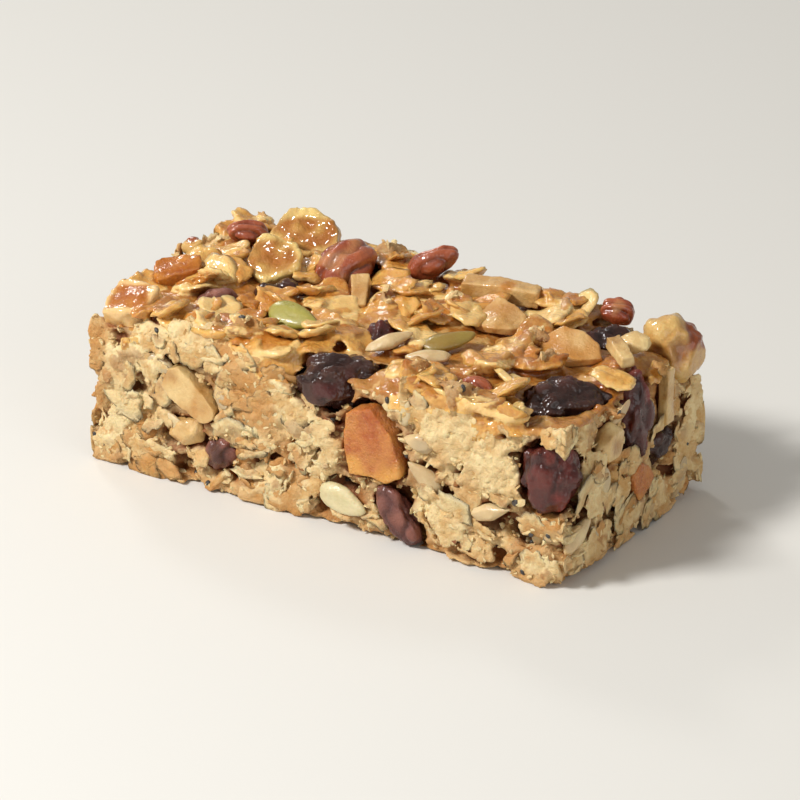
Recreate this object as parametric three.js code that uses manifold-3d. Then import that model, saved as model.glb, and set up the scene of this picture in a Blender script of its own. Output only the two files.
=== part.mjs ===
// A fruit and nut bar, cut with a knife from a baked slab of rolled oats bound with syrup.
// The oat mass is one solid, with its larger oat flakes and sunflower kernels fused on.
// Each piece of dried fruit and each large piece of nut or seed is a solid of its own,
// which sits in a pocket of the oat mass with a small gap all round.
// Millimetres. X runs along the bar, Y across it and Z up. The origin is the middle of the base.
import * as THREE from "three";
import { mergeVertices } from "three/addons/utils/BufferGeometryUtils.js";
import Module from "manifold-3d";

const wasm = await Module();
wasm.setup();

// The bar's own sizes
const LENGTH = 114;
const WIDTH = 57;
const CRUST = 34; // mean height of the glazed top above the tray
const TALLEST = 60; // nothing reaches this high, so the knife box has no effect on the top
const CUT_INSET = 1.5; // how far the oat mass lies behind the knife cuts
const CRUST_INSET = 1; // how far it lies under the mean level of the top
const EDGE_ROUND = 4;
const BASE_ROUND = 1.5;
const UNEVEN = 0.9; // rise and fall of the oat mass
const GAP = 0.35; // clear space between one piece and the next

// The oat mass is a box with this many steps along each side
const STEPS = { long: 14, wide: 7, high: 4 };

// Oat flakes that are fused to the mass, one for each cell of this size
const FLAKE_PITCH = 11;
const FLAKE = { shortest: 9, longest: 12, narrowest: 0.68, widest: 0.9, thick: 1.7, sides: 6 };
const KERNEL_SHARE = 0.1; // share of the cells that hold a sunflower kernel
const CLEAR = { flake: 0.3, piece: 0.36 }; // a flake keeps these shares of both lengths from a piece
const KERNEL = { long: 9, wide: 4.6, thick: 3.2 };

const degrees = Math.PI / 180;
const vector = (x, y, z) => new THREE.Vector3(x, y, z);

// Each face has an origin on the knife cut or the crust, directions u and v in it, and n out of it.
// The tilt is how far a flake may lean out of the face, in degrees.
const FACES = {
  top: { at: [0, 0, CRUST], u: [1, 0, 0], v: [0, 1, 0], across: LENGTH, low: -WIDTH / 2, high: WIDTH / 2,
    seed: 11, tilt: 32, lift: 0.9 },
  front: { at: [0, -WIDTH / 2, 0], u: [1, 0, 0], v: [0, 0, 1], across: LENGTH, low: 1, high: CRUST,
    seed: 23, tilt: 42, lift: -1.2 },
  right: { at: [LENGTH / 2, 0, 0], u: [0, 1, 0], v: [0, 0, 1], across: WIDTH, low: 1, high: CRUST,
    seed: 37, tilt: 42, lift: -1.2 },
  back: { at: [0, WIDTH / 2, 0], u: [-1, 0, 0], v: [0, 0, 1], across: LENGTH, low: 1, high: CRUST,
    seed: 41, tilt: 42, lift: -1.2 },
  left: { at: [-LENGTH / 2, 0, 0], u: [0, -1, 0], v: [0, 0, 1], across: WIDTH, low: 1, high: CRUST,
    seed: 53, tilt: 42, lift: -1.2 },
};

// A repeatable draw of numbers from 0 to 1.
function drawer(seed) {
  let state = seed;
  return () => {
    state = (state * 16807) % 2147483647;
    return state / 2147483647;
  };
}

// A smooth rise and fall between about -1 and 1, the same at the same place every time.
function wave(x, y, z, length) {
  const k = (2 * Math.PI) / length;
  return (
    (Math.sin(k * (x + 0.4 * y) + 0.7) * Math.cos(k * (0.9 * y - 0.5 * z)) +
      Math.sin(k * 1.7 * (z + 0.3 * x) + 2.1) * Math.cos(k * 1.6 * (y - 0.6 * x) + 0.4)) / 1.6
  );
}

// The placement of a piece on a face: a and b along u and v, out along the normal, turned by spin
// in the face, and then leaning by tilt towards the direction that the angle toward gives.
function placed(face, a, b, out, spin = 0, tilt = 0, toward = 0) {
  const u = vector(...face.u);
  const v = vector(...face.v);
  const n = u.clone().cross(v);
  const turn = new THREE.Matrix4().makeBasis(u, v, n);
  turn.multiply(new THREE.Matrix4().makeRotationZ(toward * degrees));
  turn.multiply(new THREE.Matrix4().makeRotationY(tilt * degrees));
  turn.multiply(new THREE.Matrix4().makeRotationZ((spin - toward) * degrees));
  const at = vector(...face.at).addScaledVector(u, a).addScaledVector(v, b).addScaledVector(n, out);
  return turn.setPosition(at);
}

// A geometry's closed surface as a solid, after every point has been moved by shape(point).
function solid(geometry, shape, placement) {
  geometry.deleteAttribute("normal");
  geometry.deleteAttribute("uv");
  const merged = mergeVertices(geometry, 1e-4);
  const points = merged.getAttribute("position");
  const point = vector(0, 0, 0);
  for (let i = 0; i < points.count; i++) {
    point.fromBufferAttribute(points, i);
    shape(point);
    points.setXYZ(i, point.x, point.y, point.z);
  }
  if (placement) merged.applyMatrix4(placement);
  return new wasm.Manifold(new wasm.Mesh({
    numProp: 3,
    vertProperties: merged.attributes.position.array,
    triVerts: new Uint32Array(merged.index.array),
  }));
}

// Balls of radius 1 that the rounded pieces are shaped from, with 32, 80 and 180 triangles.
const SMALL = () => new THREE.OctahedronGeometry(1, 1);
const MIDDLING = () => new THREE.IcosahedronGeometry(1, 1);
const LARGE = () => new THREE.IcosahedronGeometry(1, 2);

// A rounded lump of the given length, width and thickness: dried fruit or a piece of nut.
// Square is 0 for an egg shape and near 1 for a block, and rough is the depth of its dents.
const lump = (ball, rough, square) => (size, grow, placement, mark) => {
  const [l, w, t] = size.map((s) => s / 2 + grow);
  return solid(ball(), (p) => {
    const longest = Math.max(Math.abs(p.x), Math.abs(p.y), Math.abs(p.z));
    const reach = (1 + square * (1 / longest - 1)) * (1 + rough * wave(p.x + mark, p.y, p.z - mark, 1.9));
    p.set(p.x * reach * l, p.y * reach * w, p.z * reach * t);
  }, placement);
};

// A slab cut from soft dried fruit or a nut: four uneven sides, eased corners and a wavy face. It is
// narrower at its far end.
const slab = (size, grow, placement, mark) => {
  const [l, w, t] = size.map((s) => s / 2 + grow);
  return solid(new THREE.BoxGeometry(2, 2, 2, 3, 3, 1), (p) => {
    const corner = 1 - 0.14 * Math.abs(p.x * p.y) ** 3;
    const taper = 1 - 0.16 * p.x;
    const side = 1 + 0.1 * wave(p.x + mark, p.y - mark, 0, 2.6);
    const rise = 0.2 * wave(p.x, p.y + mark, mark, 2.2);
    p.set(p.x * corner * side * l, (p.y * taper + 0.1 * p.x) * corner * side * w, (p.z + rise) * t);
  }, placement);
};

// A seed or kernel: flat, round at one end and pointed at the other.
const kernel = (ball, taper) => (size, grow, placement) => {
  const [l, w, t] = size.map((s) => s / 2 + grow);
  return solid(ball(), (p) => {
    const narrowing = 1 - taper * (0.5 + 0.5 * p.x) ** 2;
    p.set(p.x * l, p.y * w * narrowing, p.z * t * (0.4 + 0.6 * narrowing));
  }, placement);
};

// A half pecan: an oval lump with a groove along its back and ridges beside it.
const pecan = (ball) => (size, grow, placement, mark) => {
  const [l, w, t] = size.map((s) => s / 2 + grow);
  const grooveDepth = 0.22;
  return solid(ball(), (p) => {
    const groove = p.z > 0 ? grooveDepth * Math.exp(-((p.y / 0.22) ** 2)) : 0;
    const ridge = 1 + 0.07 * Math.cos(9 * p.y + mark);
    p.set(p.x * l, p.y * w * ridge, (p.z * ridge - groove * Math.max(0, p.z)) * t);
  }, placement);
};

// A cut stick of almond, a little thinner at its far end.
const sliver = (size, grow, placement) => {
  const [l, w, t] = size.map((s) => s + 2 * grow);
  return solid(new THREE.BoxGeometry(l, w, t, 2, 1, 1), (p) => {
    const thin = 1 - 0.18 * (p.x / l + 0.5);
    const bend = 0.05 * l * (1 - (2 * p.x / l) ** 2);
    p.set(p.x, p.y * thin + bend * 0.4, p.z * thin + bend * 0.3);
  }, placement);
};

// A flat disc with an uneven rim, cupped like a flake, a banana chip or a slice of almond.
const disc = (sides, cup) => (size, grow, placement, mark) => {
  const [l, w, t] = size.map((s) => s / 2 + grow);
  const flat = new THREE.CylinderGeometry(1, 1, 2, sides, 1).rotateX(Math.PI / 2);
  return solid(flat, (p) => {
    const around = Math.atan2(p.y, p.x);
    const reach = 1 + 0.1 * Math.sin(3 * around + mark) + 0.06 * Math.sin(5 * around + 2 * mark);
    const rise = cup * (p.x * p.x - 0.4 * p.y * p.y);
    p.set(p.x * reach * l, p.y * reach * w, p.z * t + rise);
  }, placement);
};

const flake = disc(FLAKE.sides, 0.8);
const smallFruit = lump(SMALL, 0.15, 0.1);
const fruit = lump(MIDDLING, 0.2, 0.05);
const largeFruit = lump(LARGE, 0.24, 0.05);
const cutFruit = lump(MIDDLING, 0.1, 0.5);
const nutPiece = lump(SMALL, 0.1, 0.4);
const roundNut = lump(MIDDLING, 0.16, 0.3);
const pumpkinSeed = kernel(MIDDLING, 0.5);
const sunflowerKernel = kernel(SMALL, 0.65);
const pecanHalf = pecan(LARGE);
const pecanPiece = pecan(MIDDLING);
const chip = disc(10, 0.7);
const almondSlice = disc(9, -1.3);

// Every separate piece: its form, its face and place on it in millimetres, how far out its middle
// lies, its length, width and thickness, and its spin, tilt and direction of tilt in degrees.
// A piece earlier in the list keeps its shape where two meet, and the later one gives way.
const TONES = {
  oat: { color: 0xdcb987, roughness: 0.75 },
  raisin: { color: 0x2e211f, roughness: 0.35 },
  cranberry: { color: 0x5a2422, roughness: 0.35 },
  date: { color: 0x6e3c28, roughness: 0.4 },
  apricot: { color: 0xc4682c, roughness: 0.5 },
  pecan: { color: 0x8a3f28, roughness: 0.4 },
  almond: { color: 0xdcab66, roughness: 0.45 },
  hazelnut: { color: 0xd0a468, roughness: 0.45 },
  banana: { color: 0xe0b969, roughness: 0.4 },
  pumpkin: { color: 0xa7a552, roughness: 0.35 },
  sunflower: { color: 0xe3cfa0, roughness: 0.45 },
};

const PIECES = [
  // Lying on the top
  ["almond_bit_1", sliver, "top", 49.2, 5.8, 3.3, [8, 3.2, 2.8], -38, 10, -60, "almond"],
  ["almond_bit_2", nutPiece, "top", 48.5, 13, 2.4, [6.5, 5.2, 3], 20, 16, -70, "almond"],
  ["banana_chip_1", chip, "top", -34.4, 7.8, 2.6, [12, 11, 2.4], 12, 36, -75, "banana"],
  ["banana_chip_2", chip, "top", -36.4, 23, 2.4, [15.5, 11.5, 2.6], 8, 42, -80, "banana"],
  ["pecan_1", pecanPiece, "top", -47.6, 17.6, 2.4, [10, 5.8, 5], 36, 10, 0, "pecan"],
  ["pecan_2", pecanHalf, "top", -21.5, 14.5, 2, [14, 11.5, 9], 70, 28, -70, "pecan"],
  ["pecan_3", pecanPiece, "top", -5.2, 23, 3.6, [12.5, 6.2, 5.6], 36, -24, 36, "pecan"],
  ["pecan_4", nutPiece, "top", 37.5, 25, 1.8, [6.8, 5.4, 4.8], 20, 10, 0, "pecan"],
  ["pecan_5", nutPiece, "top", 30.5, -18.5, 0.4, [7, 5, 4.6], 25, 0, 0, "pecan"],
  ["almond_sliver_1", sliver, "top", 13, 20.5, 2, [16.5, 4.6, 4.4], 12, 4, -90, "almond"],
  ["almond_sliver_2", sliver, "top", -12, 5.5, 1.2, [9.5, 4, 3.4], -62, 18, -80, "almond"],
  ["almond_slice_1", almondSlice, "top", 37.6, 5.2, 1.4, [13.6, 9.4, 2], 8, 26, -85, "almond"],
  ["almond_slice_2", almondSlice, "top", 18.5, 10.5, 1.4, [12, 8.5, 1.8], 4, 24, -90, "almond"],
  ["pumpkin_seed_1", pumpkinSeed, "top", -17, -11.5, 1.6, [12.8, 7.2, 3], -4, 30, -85, "pumpkin"],
  ["pumpkin_seed_2", pumpkinSeed, "top", 15.5, -4, 1.2, [12.2, 6, 2.8], 52, 16, -60, "pumpkin"],
  ["sunflower_kernel_1", sunflowerKernel, "top", 6, -11.5, 1.6, [11.5, 4.8, 3.6], 48, -14, 48, "sunflower"],
  ["sunflower_kernel_2", sunflowerKernel, "top", 15.5, -12.5, 1, [10.5, 4.6, 3.4], -146, 8, -60, "sunflower"],
  ["nut_bit_1", smallFruit, "top", -53, 5.8, 2.4, [5.2, 4.8, 4.6], 0, 0, 0, "hazelnut"],
  ["apricot_1", slab, "top", -50.2, -4.4, 0.6, [10.5, 7, 4.8], 40, 14, -70, "apricot"],
  ["date_1", slab, "top", -50, -20.4, -0.6, [10.5, 9.5, 5.4], 0, 22, -110, "date"],
  ["date_2", cutFruit, "top", -36.5, -10.5, -0.8, [8.5, 6, 6.4], 60, 0, 0, "date"],
  ["hazelnut_1", roundNut, "top", 51, 23.4, -2.2, [13, 12.6, 13], 0, 0, 0, "hazelnut"],
  ["raisin_1", largeFruit, "top", 1.2, -22, -4.4, [20, 11, 11], 32, 8, -58, "raisin"],
  ["raisin_2", largeFruit, "top", 46, -11, -3.4, [18, 12, 11], 52, 14, -40, "raisin"],
  ["raisin_3", fruit, "top", 39.6, 16, -1.2, [11.6, 8, 6.6], 62, 10, -60, "raisin"],
  ["raisin_4", smallFruit, "top", -28, 1.8, -1.2, [12, 6.6, 6], 22, 0, 0, "raisin"],
  ["cranberry_3", smallFruit, "top", 0.5, -6, 0, [9, 5.6, 5.4], -70, 0, 0, "cranberry"],

  // In the long cut face that the picture shows
  ["apricot_2", slab, "front", 11.6, 20.6, -2.2, [15.4, 12.4, 5.4], 98, 0, 0, "apricot"],
  ["date_3", cutFruit, "front", 17.4, 6, -2.4, [14.6, 6.2, 6], -54, 0, 0, "date"],
  ["pumpkin_seed_3", pumpkinSeed, "front", 5, 6.6, -1, [12.4, 6.8, 3.4], -14, 10, 90, "pumpkin"],
  ["sunflower_kernel_3", sunflowerKernel, "front", 39.5, 13.2, -1.2, [10, 4.2, 3.6], 20, 8, 90, "sunflower"],
  ["sunflower_kernel_4", sunflowerKernel, "front", 22.8, 24, -1, [7.4, 5, 3.4], 176, 0, 0, "sunflower"],
  ["almond_chunk_1", slab, "front", -31.8, 20.6, -1.8, [13.5, 6.6, 4.6], -40, 0, 0, "almond"],
  ["almond_chunk_2", nutPiece, "front", -33.6, 11.6, -2.6, [8.4, 6, 5.4], 14, 0, 0, "almond"],
  ["cranberry_2", largeFruit, "front", 51, 23.2, -4.6, [15.5, 11, 11], 82, 0, 0, "cranberry"],
  ["date_4", smallFruit, "front", -25.6, 8.6, -2.8, [9.2, 6.6, 6], 50, 0, 0, "date"],

  // In the short cut face that the picture shows
  ["cranberry_1", largeFruit, "right", 3.2, 25.8, -3.2, [17.2, 9.2, 7.6], 84, 8, 90, "cranberry"],
  ["almond_sliver_3", sliver, "right", 13.2, 26.5, -1.2, [12, 3, 2.8], 90, 0, 0, "almond"],
  ["almond_chunk_3", nutPiece, "right", -8.6, 24.4, -2.2, [8.4, 7, 6], 40, 0, 0, "almond"],
  ["apricot_3", slab, "right", 2.6, 12.2, -2.2, [7.8, 6.4, 5], 118, 0, 0, "apricot"],
  ["raisin_5", smallFruit, "right", 12.8, 15.6, -3, [9, 7.6, 6.6], 30, 0, 0, "raisin"],
  ["sunflower_kernel_5", sunflowerKernel, "right", -20.5, 9.6, -1.6, [12, 5, 4], 24, 0, 0, "sunflower"],

  // In the long cut face at the back
  ["cranberry_4", fruit, "back", -30, 17, -3.4, [14, 10, 8], 24, 0, 0, "cranberry"],
  ["apricot_4", slab, "back", 8, 13, -2.4, [13, 10.5, 5.4], -30, 0, 0, "apricot"],
  ["raisin_6", fruit, "back", 33, 24, -3.4, [15, 9.6, 8], -12, 0, 0, "raisin"],
  ["almond_chunk_4", nutPiece, "back", -10, 25, -2.4, [14, 7.4, 6], 16, 0, 0, "almond"],
  ["pumpkin_seed_4", pumpkinSeed, "back", 24, 8, -1.2, [12.4, 6.6, 3.4], 34, 10, 90, "pumpkin"],
  ["pecan_6", pecanPiece, "back", -47, 8.4, -2.8, [13, 8, 7], 8, 0, 0, "pecan"],

  // In the short cut face at the left
  ["raisin_7", fruit, "left", 8, 19, -3.2, [14, 9.4, 8], 40, 0, 0, "raisin"],
  ["almond_chunk_5", nutPiece, "left", -10, 11, -2.2, [13, 7, 6], -22, 0, 0, "almond"],
  ["pumpkin_seed_5", pumpkinSeed, "left", -14, 25, -1.2, [12, 6.6, 3.2], 12, 10, 90, "pumpkin"],
  ["cranberry_5", smallFruit, "left", 19, 8, -2.8, [10, 7.4, 7], -30, 0, 0, "cranberry"],
];

// Open hollows between the flakes of the cut faces: face, place, and length, height and depth.
const HOLLOWS = [
  ["front", -28.5, 29.4, [8, 3.4, 7]],
  ["front", -6, 12.8, [5, 7, 6]],
  ["front", -11, 20.6, [9, 2.6, 5]],
  ["front", -22, 18, [4.4, 5, 5]],
  ["front", -37.5, 9, [6, 3.6, 5]],
  ["front", 29, 4.6, [9, 2.4, 5]],
  ["front", 46, 9.2, [8, 2.6, 6]],
  ["right", 1, 22.4, [6, 4, 7]],
  ["right", -4, 9.6, [6, 3.6, 5]],
  ["right", 20, 22, [5, 3, 5]],
  ["back", -38, 26, [8, 3, 5]],
  ["back", 20, 19, [7, 4, 6]],
  ["back", -18, 10, [6, 4, 5]],
  ["back", 46, 13, [7, 3.4, 5]],
  ["left", 0, 27, [6, 3, 5]],
  ["left", 18, 15, [6, 3.6, 5]],
  ["left", -20, 18, [5, 3, 5]],
];

// The pressed mass of oats and syrup: a box with rounded edges and an uneven surface. Its base,
// which lay on the tray, is flat.
function oatMass() {
  const half = vector(LENGTH / 2 - CUT_INSET, WIDTH / 2 - CUT_INSET, (CRUST - CRUST_INSET) / 2);
  const box = new THREE.BoxGeometry(2 * half.x, 2 * half.y, 2 * half.z, STEPS.long, STEPS.wide, STEPS.high);
  return solid(box, (p) => {
    const onBase = p.z < -half.z + 0.01;
    const round = p.z < 0 ? BASE_ROUND : EDGE_ROUND;
    const inner = vector(
      THREE.MathUtils.clamp(p.x, round - half.x, half.x - round),
      THREE.MathUtils.clamp(p.y, round - half.y, half.y - round),
      THREE.MathUtils.clamp(p.z, round - half.z, half.z - round),
    );
    const out = p.clone().sub(inner).normalize();
    p.copy(inner).addScaledVector(out, round);
    p.addScaledVector(out, UNEVEN * (wave(p.x, p.y, p.z, 17) + 0.6 * wave(p.y, p.z, p.x, 9)));
    p.z = onBase ? -half.z : Math.max(p.z, -half.z + 0.4);
    p.z += half.z;
  });
}

// One flake or kernel for each cell of each face, at a place, size and lean that are drawn. Where a
// separate piece lies, the cell stays empty. A piece is given by its middle and its length.
function fusedFlakes(pieces) {
  const made = [];
  for (const face of Object.values(FACES)) {
    const draw = drawer(face.seed);
    const columns = Math.round(face.across / FLAKE_PITCH);
    const rows = Math.round((face.high - face.low) / FLAKE_PITCH);
    for (let cell = 0; cell < columns * rows; cell++) {
      const column = (cell % columns) + 0.5 + 0.7 * (draw() - 0.5);
      const row = Math.floor(cell / columns) + 0.5 + 0.7 * (draw() - 0.5);
      const a = (column / columns - 0.5) * face.across * 0.97;
      const b = face.low + (row / rows) * (face.high - face.low);
      const out = face.lift + 1.2 * (draw() - 0.5);
      const long = FLAKE.shortest + (FLAKE.longest - FLAKE.shortest) * draw();
      const wide = long * (FLAKE.narrowest + (FLAKE.widest - FLAKE.narrowest) * draw());
      const placement = placed(face, a, b, out, 360 * draw(), face.tilt * draw(), 360 * draw());
      const isKernel = draw() < KERNEL_SHARE;
      const mark = 6 * draw();
      const middle = vector(0, 0, 0).setFromMatrixPosition(placement);
      const clear = pieces.every((piece) =>
        middle.distanceTo(piece.middle) > CLEAR.flake * long + CLEAR.piece * piece.long);
      if (!clear) continue;
      made.push(isKernel
        ? sunflowerKernel([KERNEL.long, KERNEL.wide, KERNEL.thick], 0, placement)
        : flake([long, wide, FLAKE.thick], 0, placement, mark));
    }
  }
  return made;
}

// The largest closed part of a solid, without any scrap that a cut has left loose.
function largest(whole) {
  return whole.decompose().reduce((best, part) => (part.volume() > best.volume() ? part : best));
}

// A named mesh of a solid, with its place and turn in the mesh's own position and rotation.
function mesh(name, whole, tone, placement = new THREE.Matrix4()) {
  const { vertProperties, triVerts } = whole.getMesh();
  const geometry = new THREE.BufferGeometry();
  geometry.setAttribute("position", new THREE.BufferAttribute(new Float32Array(vertProperties), 3));
  geometry.setIndex(new THREE.BufferAttribute(new Uint32Array(triVerts), 1));
  geometry.applyMatrix4(placement.clone().invert());
  geometry.computeVertexNormals();
  const made = new THREE.Mesh(geometry, new THREE.MeshStandardMaterial({ ...TONES[tone], metalness: 0 }));
  made.name = name;
  made.applyMatrix4(placement);
  return made;
}

const knifeBox = solid(new THREE.BoxGeometry(LENGTH, WIDTH, TALLEST), (p) => {
  p.z += TALLEST / 2;
});

const bar = new THREE.Group();
bar.name = "fruit_and_nut_bar";

let pockets = null;
const pieces = [];
PIECES.forEach(([name, form, face, a, b, out, size, spin, tilt, toward, tone], index) => {
  const placement = placed(FACES[face], a, b, out, spin, tilt, toward);
  const mark = 0.7 * index;
  const whole = form(size, 0, placement, mark).intersect(knifeBox);
  const shown = pockets ? whole.subtract(pockets) : whole;
  bar.add(mesh(name, largest(shown), tone, placement));
  const pocket = form(size, GAP, placement, mark);
  pockets = pockets ? pockets.add(pocket) : pocket;
  pieces.push({ middle: vector(0, 0, 0).setFromMatrixPosition(placement), long: size[0] });
});

let mass = oatMass();
for (const [face, a, b, size] of HOLLOWS) {
  mass = mass.subtract(smallFruit(size, 0, placed(FACES[face], a, b, -CUT_INSET), 1));
}
for (const flakeOrKernel of fusedFlakes(pieces)) {
  mass = mass.add(flakeOrKernel);
}
mass = largest(mass.intersect(knifeBox).subtract(pockets));
bar.add(mesh("oat_mass", mass, "oat"));

export default bar;
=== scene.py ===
# %% [markdown]
# A fruit and nut bar. Rolled oats, seeds, chopped nuts and dried fruit are stirred into hot syrup,
# pressed into a tray, baked until the top is golden, and cut with a knife. So the bar has a glossy
# top of overlapping flakes, four torn and crumbly sides, and a flat base.
# The CAD frame gives every piece of fruit and nut its place and size. This script gives each one
# its real surface, and adds what is too small for the frame: flakes, crumbs and tiny seeds.

# %% The frame
import math
from collections import namedtuple
import bmesh
import bpy
import numpy as np
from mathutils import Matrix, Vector
from mathutils.bvhtree import BVHTree


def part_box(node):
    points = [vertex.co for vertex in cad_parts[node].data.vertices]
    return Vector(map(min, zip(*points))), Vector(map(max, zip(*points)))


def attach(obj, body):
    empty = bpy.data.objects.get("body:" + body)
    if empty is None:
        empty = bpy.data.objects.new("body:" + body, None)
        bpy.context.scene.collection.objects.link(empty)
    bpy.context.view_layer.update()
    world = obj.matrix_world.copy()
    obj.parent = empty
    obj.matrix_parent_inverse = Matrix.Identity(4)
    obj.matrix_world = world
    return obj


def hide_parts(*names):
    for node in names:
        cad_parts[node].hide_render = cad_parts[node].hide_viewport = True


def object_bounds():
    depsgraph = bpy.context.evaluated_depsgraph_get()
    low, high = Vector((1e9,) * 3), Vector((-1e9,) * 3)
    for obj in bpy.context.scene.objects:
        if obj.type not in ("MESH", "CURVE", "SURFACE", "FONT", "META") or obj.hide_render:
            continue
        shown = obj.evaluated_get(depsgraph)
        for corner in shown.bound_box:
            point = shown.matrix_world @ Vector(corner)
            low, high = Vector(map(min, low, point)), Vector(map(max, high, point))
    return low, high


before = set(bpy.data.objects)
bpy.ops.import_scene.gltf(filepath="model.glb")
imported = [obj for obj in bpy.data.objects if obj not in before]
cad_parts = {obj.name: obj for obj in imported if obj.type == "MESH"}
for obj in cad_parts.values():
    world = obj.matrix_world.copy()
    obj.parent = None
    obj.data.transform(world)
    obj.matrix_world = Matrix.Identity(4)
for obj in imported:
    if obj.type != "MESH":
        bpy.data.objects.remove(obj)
cad_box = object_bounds()
MM = 0.001  # a millimetre in Blender's metres
low_corner, high_corner = (np.array(corner) / MM for corner in cad_box)
HALF_LENGTH, HALF_WIDTH, TALLEST = high_corner
LENGTH, WIDTH = 114, 57  # of the bar, from cut to cut
CRUST = 34.0  # height of the baked top, where the flakes of the glaze lie
print("the bar is", np.round(high_corner - low_corner, 1), "mm, with", len(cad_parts), "nodes")

# %% [markdown]
# Everything uneven in this bar comes from two kinds of noise, both worked out from a point's place.
# Smooth noise rises and falls like a soft landscape. Cell noise splits space into lumps with cracks
# between them, which is what torn crumb looks like. Each takes the size of its lumps in millimetres.
# They are written for whole arrays of points, because the bar has some hundred thousand points.

# %% Noise from a point's place
def chance(cell, seed, channel=0):
    """A number from 0 to 1 for each whole-numbered cell, always the same for the same cell. The large
    numbers have no meaning: they mix the cell's three numbers until no pattern is left."""
    mixed = (cell[..., 0] * 73856093) ^ (cell[..., 1] * 19349663) ^ (cell[..., 2] * 83492791)
    mixed = (mixed ^ (seed * 7919 + channel * 104729 + 12345)) & 0xFFFFFFFF
    for _ in range(2):
        mixed = ((mixed ^ (mixed >> 16)) * 0x45D9F3B) & 0xFFFFFFFF
    return (mixed ^ (mixed >> 16)) / 2.0**32


def smooth_noise(points, size, seed):
    """Soft rise and fall between -1 and 1, with lumps of about this size in millimetres."""
    at = np.asarray(points) / size
    corner = np.floor(at).astype(np.int64)
    part = at - corner
    part = part * part * (3 - 2 * part)
    total = np.zeros(len(at))
    for step in np.ndindex(2, 2, 2):
        weight = np.prod(np.where(np.array(step) == 1, part, 1 - part), axis=1)
        total += weight * chance(corner + np.array(step), seed)
    return 2 * total - 1


def lump_noise(points, size, seed):
    """For each point, a chance number of its lump and how far, in lump sizes, the nearest crack is."""
    at = np.asarray(points) / size
    corner = np.floor(at).astype(np.int64)
    nearest = np.full(len(at), 9.0)
    second = np.full(len(at), 9.0)
    own = np.zeros(len(at))
    for step in np.ndindex(3, 3, 3):
        cell = corner + np.array(step) - 1
        site = cell + np.stack([chance(cell, seed, c) for c in (1, 2, 3)], axis=1)
        away = np.linalg.norm(at - site, axis=1)
        closer = away < nearest
        second = np.where(closer, nearest, np.minimum(second, away))
        own = np.where(closer, chance(cell, seed, 4), own)
        nearest = np.where(closer, away, nearest)
    return own, second - nearest


def ramp(value, start, end):
    """Goes smoothly from 0 at start to 1 at end."""
    t = np.clip((value - start) / (end - start), 0, 1)
    return t * t * (3 - 2 * t)


print("smooth noise at three places:", np.round(smooth_noise(np.eye(3) * 7, 3, 1), 2))

# %% [markdown]
# Meshes are made from arrays of points in millimetres. Each point also carries three numbers, which
# the materials read as a colour attribute named "finish": how pale it is, how far it stands out of
# the cracks, which lays the darker crack colour, syrup and painted shade, where it is low, and a third
# that each finish uses in its own way, such as how much syrup lies there.
# Where a surface is pushed in or out, its points have to be even, so the way from a CAD node to
# arrays goes through Blender's voxel remesh, which lays small squares of one size all over it.

# %% From arrays to a mesh, and back
QUADS = 4  # corners of each face that Blender's voxel remesh makes


def make_piece(name, points, faces, finish, material):
    """A piece of the bar from points in millimetres, riding on the bar."""
    points = np.array(points)
    points[:, 0] = np.clip(points[:, 0], -HALF_LENGTH, HALF_LENGTH)
    points[:, 1] = np.clip(points[:, 1], -HALF_WIDTH, HALF_WIDTH)
    points[:, 2] = np.clip(points[:, 2], 0, TALLEST)
    mesh = bpy.data.meshes.new(name)
    mesh.from_pydata((points * MM).tolist(), [], faces.tolist())
    mesh.shade_smooth()
    layer = mesh.color_attributes.new("finish", "FLOAT_COLOR", "POINT")
    colours = np.ones((len(points), 4), np.float32)
    colours[:, :3] = np.clip(finish, 0, 1)
    layer.data.foreach_set("color", colours.ravel())
    mesh.materials.append(material)
    piece = bpy.data.objects.new(name, mesh)
    bpy.context.scene.collection.objects.link(piece)
    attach(piece, "root")
    return piece


def evened(mesh, voxel, rounds):
    """A mesh's outer surface as even small squares, softened: points in millimetres and faces."""
    worked = bpy.data.objects.new("worked", mesh)
    bpy.context.scene.collection.objects.link(worked)
    remesh = worked.modifiers.new("even", "REMESH")
    remesh.mode = "VOXEL"
    remesh.voxel_size = voxel * MM
    soften = worked.modifiers.new("soften", "SMOOTH")
    soften.factor = 0.5
    soften.iterations = rounds
    even = bpy.data.meshes.new_from_object(worked.evaluated_get(bpy.context.evaluated_depsgraph_get()))
    points = np.empty(len(even.vertices) * 3)
    even.vertices.foreach_get("co", points)
    corners = np.empty(len(even.loops), np.int64)
    even.loops.foreach_get("vertex_index", corners)
    bpy.data.objects.remove(worked)
    bpy.data.meshes.remove(mesh)
    bpy.data.meshes.remove(even)
    return points.reshape(-1, 3) / MM, corners.reshape(-1, QUADS)


def node_surface(node, voxel, rounds):
    """A CAD node's surface as even small squares."""
    mesh = bpy.data.meshes.new("worked")
    shape = bmesh.new()
    shape.from_mesh(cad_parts[node].data)
    bmesh.ops.remove_doubles(shape, verts=shape.verts, dist=1e-6)
    shape.to_mesh(mesh)
    shape.free()
    return evened(mesh, voxel, rounds)


def outward(points, faces):
    """The outward direction at each point."""
    across = np.cross(points[faces[:, 2]] - points[faces[:, 0]], points[faces[:, -1]] - points[faces[:, 1]])
    total = np.zeros_like(points)
    for corner in range(faces.shape[1]):
        for axis in range(3):
            total[:, axis] += np.bincount(faces[:, corner], across[:, axis], len(points))
    return total / np.maximum(np.linalg.norm(total, axis=1, keepdims=True), 1e-12)


level_square = np.array([[0.0, 0, 0], [1, 0, 0], [1, 1, 0], [0, 1, 0]])
print("outward on a level square:", outward(level_square, np.arange(QUADS)[None])[0])

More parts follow.
